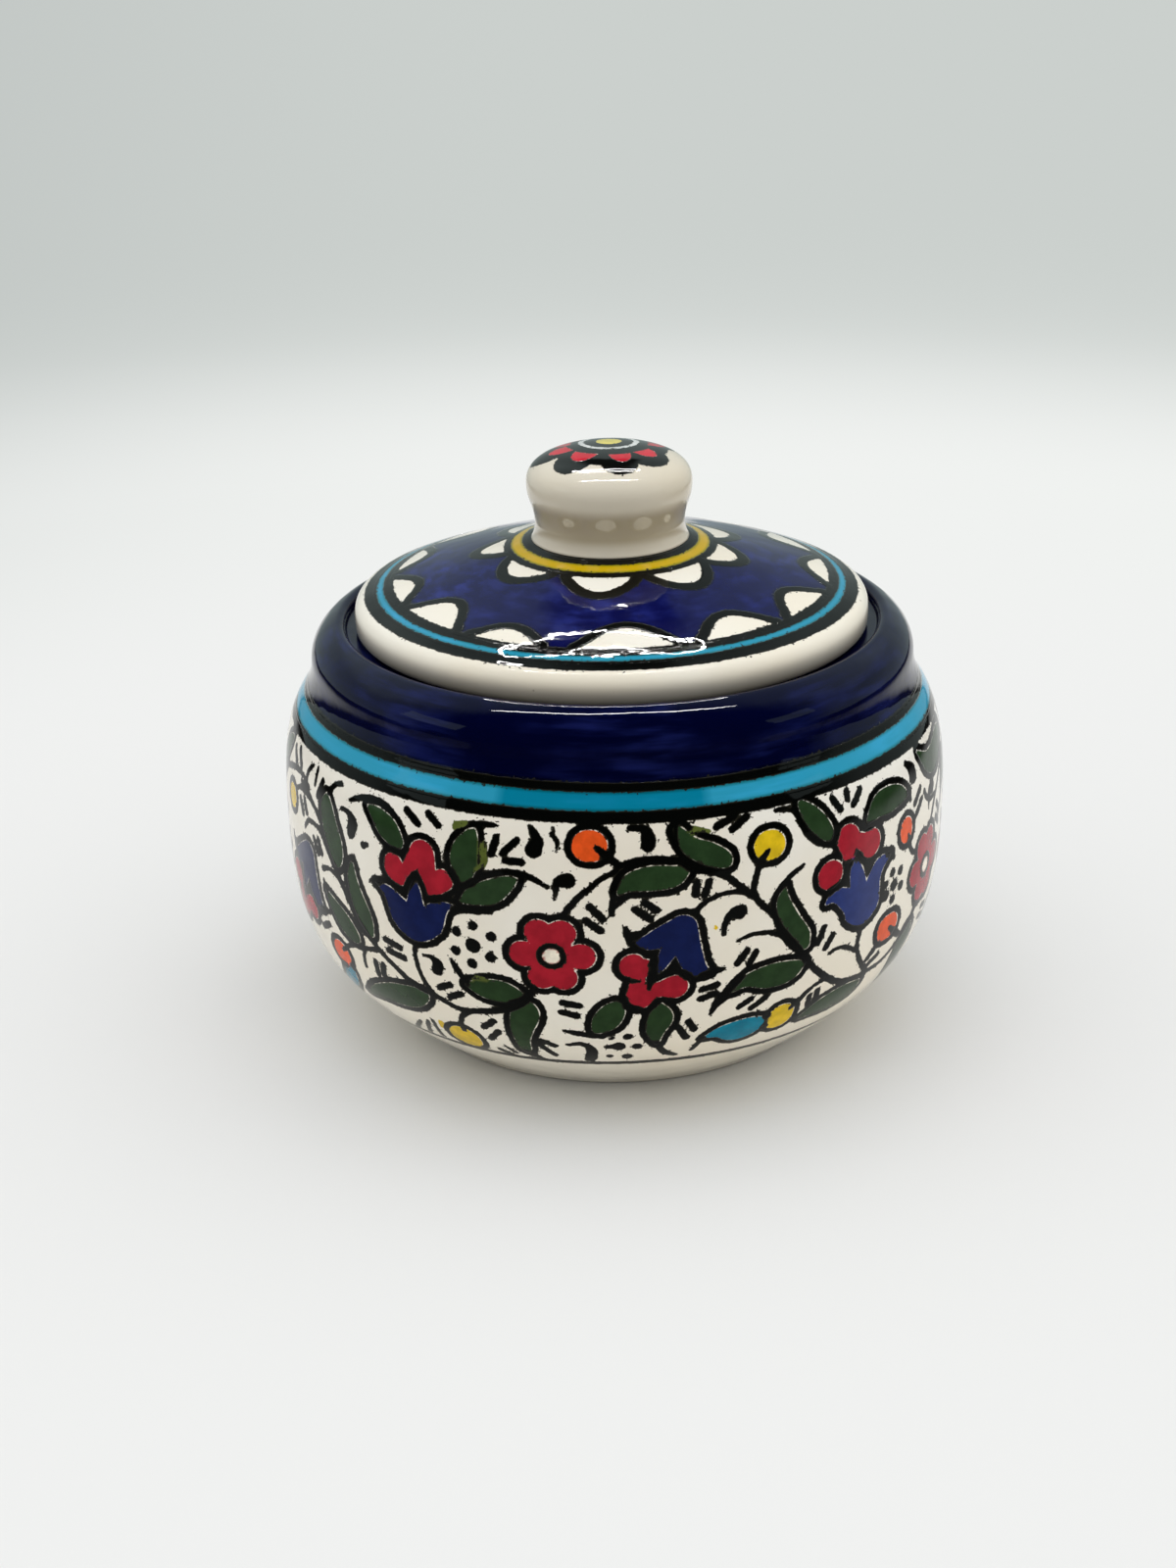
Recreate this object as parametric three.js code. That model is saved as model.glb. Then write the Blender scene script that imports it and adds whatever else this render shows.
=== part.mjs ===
import * as THREE from "three";

// A squat glazed earthenware jar with a drop-in lid, in millimetres. It stands on z = 0 and is turned
// about the z axis. It has three formed pieces: the jar, whose rolled collar hides a gallery ledge;
// the lid, whose rolled rim rests on that ledge while its flange reaches down through the throat;
// and the knob, thrown by itself and luted on the flat crown of the lid.

// Jar: outside
const BELLY_RADIUS = 60; // widest ring
const BELLY_HEIGHT = 43; // its height above the table
const FOOT_RADIUS = 38.4; // outer edge of the ring that touches the table
const FOOT_WIDTH = 3.4; // width of that flat ring
const FOOT_BEVEL = 0.9; // eased outer edge of the foot
const FOOT_RECESS = 2.8; // hollow under the base, inside the foot ring
const BELLY_FLARE = 17; // how far the lower wall leans out before it turns upright
const BELLY_FLARE_RISE = 13.2;
const BELLY_UPRIGHT = 24.9; // length of the lower wall's pull towards the upright belly
const SHOULDER_UPRIGHT = 11.8; // the same above the widest ring
const SHOULDER_LEAN = 3.6; // how the shoulder leans in where it meets the crease
const SHOULDER_LEAN_DROP = 3.8;
const CREASE_RADIUS = 53.8; // soft crease between shoulder and collar
const CREASE_HEIGHT = 65.6;
const CREASE_BLEND = 1.6; // how far the crease is rounded, up and down

// Jar: collar, gallery and inside
const COLLAR_CREST = 75.2; // height of the top of the rolled collar
const COLLAR_ROLL = 2.5; // how far below the crest the outside turns in to the roll
const COLLAR_SWELL = 1.4; // how far the collar leans out above the crease, before its roll
const COLLAR_ROLL_REACH = 0.3; // how far outside the crest the roll flattens
const COLLAR_LIP = 1; // radius of the lip that turns down into the mouth
const MOUTH_RADIUS = 47.6; // recess that the lid's rim drops into
const GALLERY_DEPTH = 2; // from the crest down to the ledge
const THROAT_RADIUS = 41.4; // opening inside the ledge
const LEDGE_THICKNESS = 4; // ledge at the throat
const LEDGE_FILLET = 4; // how far the throat keeps going down before it opens into the bowl
const LEDGE_EDGE = 0.6; // rounding of the ledge's corners
const JAR_WALL = 5;
const BOWL_UPRIGHT = 18.2; // length of the bowl's pull, up from the widest ring
const BASE_THICKNESS = 5.4;
const FLOOR_RADIUS = 30; // flat part of the floor inside
const FLOOR_CURVE = 15; // how far the bowl still lies low beyond the flat floor
const FLOOR_CURVE_RISE = 2.3;

// Lid
const SEAT_GAP = 0.3; // between the ledge and the lid's underside
const RIM_CLEARANCE = 1.8; // round the rim, inside the mouth recess
const RIM_HEIGHT = 6.1; // rolled rim, from its underside to where the dome starts
const RIM_ROLL = 2.4; // how far the roll reaches in over the rim
const RIM_EDGE = 1.3; // rounding under the rim
const FLANGE_CLEARANCE = 0.8; // round the flange, inside the throat
const FLANGE_DEPTH = 5;
const FLANGE_WIDTH = 3.6;
const LID_WALL = 4.2;
const DOME_RISE = 9.3; // from the edge of the rim up to the crown
const DOME_EDGE_PULL = 8.1; // slope of the dome where it leaves the rim
const DOME_EDGE_RISE = 3.6;
const DOME_CROWN_PULL = 7.9; // slope of the dome where it meets the crown
const DOME_CROWN_DROP = 3.2;

// Knob
const KNOB_FOOT_RADIUS = 14.2; // flared foot, luted on the crown
const KNOB_FOOT_FLARE = 1; // height of the flare, where its slope meets the waist
const KNOB_WAIST_RADIUS = 13.35;
const KNOB_WAIST_HEIGHT = 2.6; // above the crown
const KNOB_BULGE_RADIUS = 14.7; // widest ring of the head
const KNOB_BULGE_HEIGHT = 10.2;
const KNOB_HEIGHT = 16.2;
const KNOB_NECK = 3.4; // length of the neck's pull, up from the waist and down from the bulge
const KNOB_SHOULDER = 4.2; // how far the head stays upright above its widest ring
const KNOB_TOP_FLATNESS = 9.5; // reach of the nearly flat top

// Fineness of the turned surfaces
const SEGMENTS = 64;
const WALL_STEPS = 10; // the long lower wall
const CURVE_STEPS = 8; // any other long curve
const ROLL_STEPS = 4; // rolled lips and rims
const EDGE_STEPS = 2; // small rounded corners

// A profile is drawn in radius and height, from one end of the section to the other.
class Profile {
  constructor(radius, height) {
    this.points = [new THREE.Vector2(radius, height)];
  }
  get end() {
    return this.points[this.points.length - 1];
  }
  to(radius, height) {
    this.points.push(new THREE.Vector2(radius, height));
    return this;
  }
  // A curve that leaves towards the first handle and arrives from the second.
  sweep(handleA, handleB, target, steps = CURVE_STEPS) {
    const curve = new THREE.CubicBezierCurve(
      this.end.clone(),
      new THREE.Vector2(...handleA),
      new THREE.Vector2(...handleB),
      new THREE.Vector2(...target),
    );
    this.points.push(...curve.getPoints(steps).slice(1));
    return this;
  }
  // A rounded corner: the curve is tangent to both sides of the corner.
  round(corner, target, steps = EDGE_STEPS) {
    const curve = new THREE.QuadraticBezierCurve(
      this.end.clone(),
      new THREE.Vector2(...corner),
      new THREE.Vector2(...target),
    );
    this.points.push(...curve.getPoints(steps).slice(1));
    return this;
  }
}

// Turns a profile about the z axis. The profile runs from the axis to the axis, outside upwards.
function turned(name, profile, material) {
  const geometry = new THREE.LatheGeometry(profile.points, SEGMENTS);
  geometry.rotateX(Math.PI / 2);
  const mesh = new THREE.Mesh(geometry, material);
  mesh.name = name;
  return mesh;
}

function glaze(color) {
  return new THREE.MeshStandardMaterial({ color, roughness: 0.12, metalness: 0 });
}

// Heights and radii that follow from the sizes above
const ledgeHeight = COLLAR_CREST - GALLERY_DEPTH;
const rimUnderside = ledgeHeight + SEAT_GAP;
const rimRadius = MOUTH_RADIUS - RIM_CLEARANCE;
const rimTop = rimUnderside + RIM_HEIGHT;
const domeEdgeRadius = rimRadius - RIM_ROLL;
const flangeRadius = THROAT_RADIUS - FLANGE_CLEARANCE;
const crownHeight = rimTop + DOME_RISE;
const crownRadius = KNOB_FOOT_RADIUS;

// The jar: foot ring, belly, crease and collar outside; gallery, throat and bowl inside.
function jarProfile() {
  const footInside = FOOT_RADIUS - FOOT_WIDTH;
  const footTop = FOOT_RADIUS + FOOT_BEVEL;
  const floorHeight = FOOT_RECESS + BASE_THICKNESS;
  const crestRadius = MOUTH_RADIUS + COLLAR_LIP;
  const collarRadius = CREASE_RADIUS + COLLAR_SWELL;
  const rollStart = COLLAR_CREST - COLLAR_ROLL;
  const bowlRadius = BELLY_RADIUS - JAR_WALL;
  const ledgeUnderside = ledgeHeight - LEDGE_THICKNESS;
  const shoulderFoot = CREASE_HEIGHT - CREASE_BLEND;
  const shoulderEnd = CREASE_RADIUS + CREASE_BLEND / 2;

  return new Profile(0, FOOT_RECESS)
    .to(footInside - FOOT_RECESS, FOOT_RECESS)
    .round([footInside - FOOT_BEVEL, FOOT_RECESS], [footInside, 0])
    .to(FOOT_RADIUS, 0)
    .to(footTop, FOOT_BEVEL)
    .sweep(
      [footTop + BELLY_FLARE, FOOT_BEVEL + BELLY_FLARE_RISE],
      [BELLY_RADIUS, BELLY_HEIGHT - BELLY_UPRIGHT],
      [BELLY_RADIUS, BELLY_HEIGHT],
      WALL_STEPS,
    )
    .sweep(
      [BELLY_RADIUS, BELLY_HEIGHT + SHOULDER_UPRIGHT],
      [shoulderEnd + SHOULDER_LEAN, shoulderFoot - SHOULDER_LEAN_DROP],
      [shoulderEnd, shoulderFoot],
    )
    .round([CREASE_RADIUS, CREASE_HEIGHT], [CREASE_RADIUS, CREASE_HEIGHT + CREASE_BLEND])
    .sweep(
      [collarRadius, rollStart],
      [crestRadius + COLLAR_ROLL_REACH, COLLAR_CREST],
      [crestRadius, COLLAR_CREST],
    )
    .round([MOUTH_RADIUS, COLLAR_CREST], [MOUTH_RADIUS, COLLAR_CREST - COLLAR_LIP], ROLL_STEPS)
    .to(MOUTH_RADIUS, ledgeHeight + LEDGE_EDGE)
    .round([MOUTH_RADIUS, ledgeHeight], [MOUTH_RADIUS - LEDGE_EDGE, ledgeHeight])
    .to(THROAT_RADIUS + LEDGE_EDGE, ledgeHeight)
    .round([THROAT_RADIUS, ledgeHeight], [THROAT_RADIUS, ledgeHeight - LEDGE_EDGE])
    .to(THROAT_RADIUS, ledgeUnderside + LEDGE_EDGE)
    .sweep(
      [THROAT_RADIUS, ledgeUnderside - LEDGE_FILLET],
      [bowlRadius, BELLY_HEIGHT + BOWL_UPRIGHT],
      [bowlRadius, BELLY_HEIGHT],
    )
    .sweep(
      [bowlRadius, BELLY_HEIGHT - BELLY_UPRIGHT],
      [FLOOR_RADIUS + FLOOR_CURVE, floorHeight + FLOOR_CURVE_RISE],
      [FLOOR_RADIUS, floorHeight],
    )
    .to(0, floorHeight);
}

// The lid: hollow underneath, flange, flat seat, rolled rim, dome, and the flat crown for the knob.
function lidProfile() {
  const flangeInside = flangeRadius - FLANGE_WIDTH;
  const flangeBottom = rimUnderside - FLANGE_DEPTH;
  const hollowTop = crownHeight - LID_WALL;
  const hollowEdge = domeEdgeRadius - LID_WALL;

  return new Profile(0, hollowTop)
    .to(crownRadius, hollowTop)
    .sweep(
      [crownRadius + DOME_CROWN_PULL, hollowTop - DOME_CROWN_DROP],
      [flangeInside, rimUnderside + LID_WALL],
      [flangeInside, rimUnderside - LID_WALL / 2],
    )
    .to(flangeInside + LEDGE_EDGE / 2, flangeBottom)
    .to(flangeRadius - LEDGE_EDGE, flangeBottom)
    .to(flangeRadius, flangeBottom + LEDGE_EDGE)
    .to(flangeRadius, rimUnderside)
    .to(rimRadius - RIM_EDGE, rimUnderside)
    .round([rimRadius, rimUnderside], [rimRadius, rimUnderside + RIM_EDGE], ROLL_STEPS)
    .to(rimRadius, rimUnderside + RIM_HEIGHT / 2)
    .round([rimRadius, rimTop - RIM_EDGE / 2], [domeEdgeRadius, rimTop], ROLL_STEPS)
    .sweep(
      [domeEdgeRadius - DOME_EDGE_PULL, rimTop + DOME_EDGE_RISE],
      [crownRadius + DOME_CROWN_PULL, crownHeight - DOME_CROWN_DROP],
      [crownRadius, crownHeight],
    )
    .to(0, crownHeight);
}

// The knob: flat underneath, flared foot, waist, and a bulging head with a nearly flat top.
function knobProfile() {
  const waist = crownHeight + KNOB_WAIST_HEIGHT;
  const bulge = crownHeight + KNOB_BULGE_HEIGHT;
  const top = crownHeight + KNOB_HEIGHT;

  return new Profile(0, crownHeight)
    .to(KNOB_FOOT_RADIUS, crownHeight)
    .round([KNOB_WAIST_RADIUS, crownHeight + KNOB_FOOT_FLARE], [KNOB_WAIST_RADIUS, waist])
    .sweep(
      [KNOB_WAIST_RADIUS, waist + KNOB_NECK],
      [KNOB_BULGE_RADIUS, bulge - KNOB_NECK],
      [KNOB_BULGE_RADIUS, bulge],
    )
    .sweep(
      [KNOB_BULGE_RADIUS, bulge + KNOB_SHOULDER],
      [KNOB_TOP_FLATNESS, top],
      [0, top],
    );
}

const jar = new THREE.Group();
jar.add(turned("jar_body", jarProfile(), glaze(0xe9e4d8)));
jar.add(turned("lid", lidProfile(), glaze(0x14163f)));
jar.add(turned("knob", knobProfile(), glaze(0xcfc8bb)));

export default jar;
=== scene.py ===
import math

import bpy
import numpy as np
from mathutils import Matrix, Vector


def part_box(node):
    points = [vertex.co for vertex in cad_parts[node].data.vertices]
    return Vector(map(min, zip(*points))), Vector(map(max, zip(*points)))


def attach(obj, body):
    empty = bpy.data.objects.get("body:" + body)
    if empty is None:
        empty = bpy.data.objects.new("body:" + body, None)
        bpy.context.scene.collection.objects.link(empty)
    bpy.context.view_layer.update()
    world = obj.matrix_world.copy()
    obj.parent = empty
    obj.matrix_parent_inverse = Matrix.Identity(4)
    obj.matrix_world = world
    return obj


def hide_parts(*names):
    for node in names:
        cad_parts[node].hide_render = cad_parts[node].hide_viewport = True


# A squat glazed jar with a drop-in lid and a luted knob, painted under a clear glaze.
# The three solids give the sizes; here each one gets a fine turned surface with its painting on it.
# Lengths are in millimetres until a mesh is made. A turn is in degrees from the front, to the right.

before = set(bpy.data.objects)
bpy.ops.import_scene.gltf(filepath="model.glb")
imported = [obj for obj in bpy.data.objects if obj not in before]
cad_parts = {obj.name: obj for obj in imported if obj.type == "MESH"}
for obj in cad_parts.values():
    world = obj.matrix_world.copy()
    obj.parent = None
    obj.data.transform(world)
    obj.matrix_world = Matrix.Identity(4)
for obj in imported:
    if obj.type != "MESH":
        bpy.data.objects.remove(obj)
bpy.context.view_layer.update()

MM = 0.001


def box_mm(node):
    """Lowest and highest corner of a solid, in millimetres."""
    low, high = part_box(node)
    return np.array(low) / MM, np.array(high) / MM


lid_low, lid_high = box_mm("lid")
jar_high, knob_high = box_mm("jar_body")[1], box_mm("knob")[1]

# The jar. A pull is how far a curve keeps on in the direction in which it starts or ends.
BELLY_RADIUS = jar_high[0]
BELLY_HEIGHT = 43
BELLY_FLARE = 17
BELLY_FLARE_RISE = 13.2
BELLY_PULL = 24.9
FOOT_RADIUS = 38.4
FOOT_WIDTH = 3.4
FOOT_BEVEL = 0.9
FOOT_RECESS = 2.8
SHOULDER_PULL = 10
SHOULDER_LEAN = 4.9
SHOULDER_LEAN_DROP = 7.2
SHOULDER_END = 2.3
CREASE_RADIUS = 53.8
CREASE_HEIGHT = 65.6
CREASE_BLEND = 3.45
CREASE_DIP = 0.3
COLLAR_CREST = jar_high[2]
COLLAR_LIP = 1.35
COLLAR_ROLL = 1.95
COLLAR_ROLL_REACH = 0.3
COLLAR_SWELL = 0.2
MOUTH_RADIUS = 47.6
LEDGE_HEIGHT = COLLAR_CREST - 2
LEDGE_THICKNESS = 4
LEDGE_EDGE = 0.6
THROAT_RADIUS = 41.4
THROAT_PULL = 4
BOWL_RADIUS = BELLY_RADIUS - 5
BOWL_PULL = 18.2
FLOOR_HEIGHT = FOOT_RECESS + 5.4
FLOOR_RADIUS = 30
FLOOR_CURVE = 15
FLOOR_CURVE_RISE = 2.3

# The lid
CROWN_HEIGHT = lid_high[2]
LID_WALL = 4.2
RIM_RADIUS = lid_high[0]
RIM_UNDERSIDE = LEDGE_HEIGHT + 0.3
RIM_TOP = RIM_UNDERSIDE + 6.1
RIM_EDGE = 1.3
RIM_UPRIGHT = 3.05
RIM_SHOULDER = 0.65
DOME_EDGE_RADIUS = RIM_RADIUS - 2.4
DOME_EDGE_PULL = 8.1
DOME_EDGE_RISE = 3.6
DOME_CROWN_PULL = 7.9
DOME_CROWN_DROP = 3.2
FLANGE_BOTTOM = lid_low[2]
FLANGE_RADIUS = THROAT_RADIUS - 0.8
FLANGE_INSIDE = FLANGE_RADIUS - 3.6
FLANGE_TAPER = 0.3
FLANGE_EDGE = 1
SEAT_FILLET = 0.3

# The knob
KNOB_FOOT_RADIUS = 14.2
KNOB_FOOT_FLARE = 1
KNOB_WAIST_RADIUS = 13.35
KNOB_WAIST_HEIGHT = 2.6
KNOB_NECK = 3.4
KNOB_BULGE_RADIUS = knob_high[0]
KNOB_BULGE_HEIGHT = 10.2
KNOB_SHOULDER = 4.2
KNOB_TOP = knob_high[2]
KNOB_TOP_FLATNESS = 9.5

CURVE_POINTS = 120  # along each curve of a section


class Section:
    """A profile in radius and height, kept as a close string of points. A sweep is a cubic Bezier curve and
    a corner a quadratic one; a mark is a length along the string."""

    def __init__(self, radius, height):
        self.points = np.array([[radius, height]], float)
        self.marks = {}

    def line(self, radius, height):
        self.points = np.vstack([self.points, [radius, height]])
        return self

    def sweep(self, handle_a, handle_b, target):
        t = np.linspace(0, 1, CURVE_POINTS)[1:, None]
        a, b, c, d = (np.array(p, float) for p in (self.points[-1], handle_a, handle_b, target))
        curve = (1 - t) ** 3 * a + 3 * (1 - t) ** 2 * t * b + 3 * (1 - t) * t**2 * c + t**3 * d
        self.points = np.vstack([self.points, curve])
        return self

    def corner(self, corner, target):
        start, corner = self.points[-1], np.array(corner, float)
        return self.sweep((start + 2 * corner) / 3, (np.array(target) + 2 * corner) / 3, target)

    def lengths(self):
        return np.r_[0, np.cumsum(np.hypot(*np.diff(self.points, axis=0).T))]

    def mark(self, name):
        self.marks[name] = self.lengths()[-1]
        return self

    def rings(self, coarse, zones):
        """Divides the string evenly, zone by zone. A zone is (its end, largest step, how many times the coarse
        number of columns it has round)."""
        lengths, columns = [np.zeros(1)], [np.array([coarse])]
        start = 0.0
        for end, step, finer in zones:
            steps = max(1, math.ceil((end - start) / step))
            lengths.append(np.linspace(start, end, steps + 1)[1:])
            columns.append(np.full(steps, coarse * finer))
            start = end
        length = np.concatenate(lengths)
        string = self.lengths()
        radius, height = (np.interp(length, string, self.points[:, k]) for k in (0, 1))
        return radius, height, length, np.concatenate(columns)


def jar_section():
    """The jar, from the axis under its base, round the foot, the wall and the collar, and back inside."""
    foot_inside = FOOT_RADIUS - FOOT_WIDTH
    foot_top = FOOT_RADIUS + FOOT_BEVEL
    crest_radius = MOUTH_RADIUS + COLLAR_LIP
    underside = LEDGE_HEIGHT - LEDGE_THICKNESS
    section = Section(0, FOOT_RECESS).line(foot_inside - FOOT_RECESS, FOOT_RECESS)
    section.corner((foot_inside - FOOT_BEVEL, FOOT_RECESS), (foot_inside, 0.25))
    section.corner((foot_inside + 0.1, 0), (foot_inside + 0.6, 0))
    section.line(FOOT_RADIUS - 0.3, 0).mark("foot")
    section.corner((FOOT_RADIUS + 0.1, 0), (foot_top, FOOT_BEVEL))
    section.sweep(
        (foot_top + BELLY_FLARE, FOOT_BEVEL + BELLY_FLARE_RISE),
        (BELLY_RADIUS, BELLY_HEIGHT - BELLY_PULL),
        (BELLY_RADIUS, BELLY_HEIGHT),
    )
    section.sweep(
        (BELLY_RADIUS, BELLY_HEIGHT + SHOULDER_PULL),
        (CREASE_RADIUS + SHOULDER_LEAN, CREASE_HEIGHT - SHOULDER_LEAN_DROP),
        (CREASE_RADIUS + SHOULDER_END, CREASE_HEIGHT - CREASE_BLEND),
    )
    section.corner(
        (CREASE_RADIUS + COLLAR_SWELL, CREASE_HEIGHT - CREASE_DIP),
        (CREASE_RADIUS + COLLAR_SWELL, CREASE_HEIGHT + CREASE_BLEND),
    )
    section.sweep(
        (CREASE_RADIUS, COLLAR_CREST - COLLAR_ROLL),
        (crest_radius + COLLAR_ROLL_REACH, COLLAR_CREST),
        (crest_radius, COLLAR_CREST),
    ).mark("crest")
    section.corner((MOUTH_RADIUS, COLLAR_CREST), (MOUTH_RADIUS, COLLAR_CREST - COLLAR_LIP))
    section.line(MOUTH_RADIUS, LEDGE_HEIGHT + LEDGE_EDGE)
    section.corner((MOUTH_RADIUS, LEDGE_HEIGHT), (MOUTH_RADIUS - LEDGE_EDGE, LEDGE_HEIGHT)).mark("ledge")
    section.line(THROAT_RADIUS + LEDGE_EDGE, LEDGE_HEIGHT)
    section.corner((THROAT_RADIUS, LEDGE_HEIGHT), (THROAT_RADIUS, LEDGE_HEIGHT - LEDGE_EDGE))
    section.line(THROAT_RADIUS, underside + LEDGE_EDGE).mark("throat")
    section.sweep(
        (THROAT_RADIUS, underside - THROAT_PULL),
        (BOWL_RADIUS, BELLY_HEIGHT + BOWL_PULL),
        (BOWL_RADIUS, BELLY_HEIGHT),
    )
    section.sweep(
        (BOWL_RADIUS, BELLY_HEIGHT - BELLY_PULL),
        (FLOOR_RADIUS + FLOOR_CURVE, FLOOR_HEIGHT + FLOOR_CURVE_RISE),
        (FLOOR_RADIUS, FLOOR_HEIGHT),
    )
    return section.line(0, FLOOR_HEIGHT).mark("end")


def lid_section():
    """The lid, from the axis in its hollow, round the flange and the rolled rim, and up the dome."""
    hollow_top = CROWN_HEIGHT - LID_WALL
    section = Section(0, hollow_top).line(KNOB_FOOT_RADIUS, hollow_top)
    section.sweep(
        (KNOB_FOOT_RADIUS + DOME_CROWN_PULL, hollow_top - DOME_CROWN_DROP),
        (FLANGE_INSIDE, RIM_UNDERSIDE + LID_WALL),
        (FLANGE_INSIDE, RIM_UNDERSIDE - LID_WALL / 2),
    )
    section.line(FLANGE_INSIDE + FLANGE_TAPER, FLANGE_BOTTOM + 0.6).mark("flange")
    section.corner((FLANGE_INSIDE + 0.35, FLANGE_BOTTOM), (FLANGE_INSIDE + 1.2, FLANGE_BOTTOM))
    section.line(FLANGE_RADIUS - FLANGE_EDGE, FLANGE_BOTTOM)
    section.corner((FLANGE_RADIUS, FLANGE_BOTTOM), (FLANGE_RADIUS, FLANGE_BOTTOM + FLANGE_EDGE))
    section.line(FLANGE_RADIUS, RIM_UNDERSIDE - SEAT_FILLET)
    section.corner((FLANGE_RADIUS, RIM_UNDERSIDE), (FLANGE_RADIUS + SEAT_FILLET, RIM_UNDERSIDE)).mark("seat")
    section.line(RIM_RADIUS - RIM_EDGE, RIM_UNDERSIDE)
    section.corner((RIM_RADIUS, RIM_UNDERSIDE), (RIM_RADIUS, RIM_UNDERSIDE + RIM_EDGE))
    section.line(RIM_RADIUS, RIM_UNDERSIDE + RIM_UPRIGHT)
    section.corner((RIM_RADIUS, RIM_TOP - RIM_SHOULDER), (DOME_EDGE_RADIUS, RIM_TOP)).mark("rim")
    section.sweep(
        (DOME_EDGE_RADIUS - DOME_EDGE_PULL, RIM_TOP + DOME_EDGE_RISE),
        (KNOB_FOOT_RADIUS + DOME_CROWN_PULL, CROWN_HEIGHT - DOME_CROWN_DROP),
        (KNOB_FOOT_RADIUS, CROWN_HEIGHT),
    ).mark("crown")
    return section.line(0, CROWN_HEIGHT).mark("end")


def knob_section():
    """The knob, from the axis at its flat foot, up the waist and the bulging head to the axis again."""
    waist, bulge = CROWN_HEIGHT + KNOB_WAIST_HEIGHT, CROWN_HEIGHT + KNOB_BULGE_HEIGHT
    section = Section(0, CROWN_HEIGHT).line(KNOB_FOOT_RADIUS - 0.1, CROWN_HEIGHT).mark("foot")
    section.corner((KNOB_WAIST_RADIUS, CROWN_HEIGHT + KNOB_FOOT_FLARE), (KNOB_WAIST_RADIUS, waist))
    section.sweep(
        (KNOB_WAIST_RADIUS, waist + KNOB_NECK),
        (KNOB_BULGE_RADIUS, bulge - KNOB_NECK),
        (KNOB_BULGE_RADIUS, bulge),
    ).mark("bulge")
    section.sweep((KNOB_BULGE_RADIUS, bulge + KNOB_SHOULDER), (KNOB_TOP_FLATNESS, KNOB_TOP), (0, KNOB_TOP))
    return section.mark("end")


# Painting: patches of colour with a black line round them, and free black strokes, as fields of distance

FAR = 4.0  # a distance past this is as good as any other
AWAY = 20 * FAR  # a distance or radius that is off the painting
STROKE_PARTS = 5  # straight parts from one given point to the next
ARCH_POINTS = 33
OUTLINE = 1.25  # width of the line round a patch
OUTLINE_OVERLAP = 0.5  # how far the line of one patch may run into the next
SLIP = (0.1, 0.06)  # how far the colours were laid beside their lines
HEART_EYE, HEART_RING = 1.45, 2.5  # radii of a flower's white eye and of the black ring round it
DOT_SPREAD = 0.17  # how far a dot of the brush spreads past its drawn edge
DASH_WIDTHS = (0.68, 0.72)  # half widths of a short dash at its start and end

PAINTS = {
    "cream": (242, 237, 224),
    "cobalt": (1, 3, 36),
    "red": (162, 29, 46),
    "blue": (15, 27, 76),
    "bright blue": (36, 52, 114),
    "green": (38, 60, 35),
    "olive": (88, 100, 46),
    "turquoise": (5, 125, 157),
    "light turquoise": (44, 152, 186),
    "yellow": (222, 190, 32),
    "deep yellow": (204, 170, 8),
    "pale yellow": (222, 208, 96),
    "bright red": (200, 30, 50),
    "light cobalt": (7, 10, 66),
    "orange": (232, 88, 34),
    "white": (222, 226, 224),
}


def linear(paint):
    """The linear colour of a paint written in 8-bit display values."""
    share = np.array(PAINTS[paint] if isinstance(paint, str) else paint, float) / 255
    return np.where(share <= 0.04045, share / 12.92, ((share + 0.055) / 1.055) ** 2.4)


def flow(points):
    """A stroke of the brush: a Catmull-Rom curve through given points (x, y, half width)."""
    p = np.atleast_2d(np.array(points, float))
    if len(p) < 3:
        return p
    padded = np.vstack([2 * p[0] - p[1], p, 2 * p[-1] - p[-2]])
    t = np.linspace(0, 1, STROKE_PARTS, endpoint=False)[:, None]
    parts = [
        0.5 * (2 * b + (c - a) * t + (2 * a - 5 * b + 4 * c - d) * t**2 + (3 * b - a - 3 * c + d) * t**3)
        for a, b, c, d in zip(padded, padded[1:], padded[2:], padded[3:])
    ]
    return np.vstack([*parts, p[-1:]])


def stroke_distance(x, y, stroke):
    """Distance to the edge of a stroke, negative inside: over its short straight parts, the least distance
    to the part less the half width there."""
    start, end = stroke[:-1, :, None], stroke[1:, :, None]
    if len(stroke) == 1:
        start = end = stroke[:, :, None]
    dx, dy, dw = (end[:, k] - start[:, k] for k in range(3))
    along = ((x - start[:, 0]) * dx + (y - start[:, 1]) * dy) / np.maximum(dx**2 + dy**2, 1e-9)
    along = np.clip(along, 0, 1)
    gap = np.hypot(x - start[:, 0] - along * dx, y - start[:, 1] - along * dy)
    return (gap - start[:, 2] - along * dw).min(axis=0)


def disc(x, y, centre_x, centre_y, radius):
    """Distance to the edge of a disc, negative inside."""
    return np.hypot(x - centre_x, y - centre_y) - radius


def arch(across, rise, half_width, height, fullness):
    """Distance to the edge of an arch that stands on the line where rise is 0, negative inside. Its top runs as
    a cosine across its width to the power fullness."""
    share = np.linspace(-1, 1, ARCH_POINTS)
    outline = np.column_stack([share * half_width, height * np.cos(share * math.pi / 2) ** fullness, 0 * share])
    distance = np.full(across.shape, AWAY)
    near = (np.abs(across) < half_width + FAR) & (rise > -FAR) & (rise < height + FAR)
    x, y = across[near], rise[near]
    under = y < height * np.cos(np.clip(x / half_width, -1, 1) * math.pi / 2) ** fullness
    gap = stroke_distance(x, y, outline)
    distance[near] = np.maximum(np.where(under & (np.abs(x) < half_width), -gap, gap), -y)
    return distance


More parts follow.
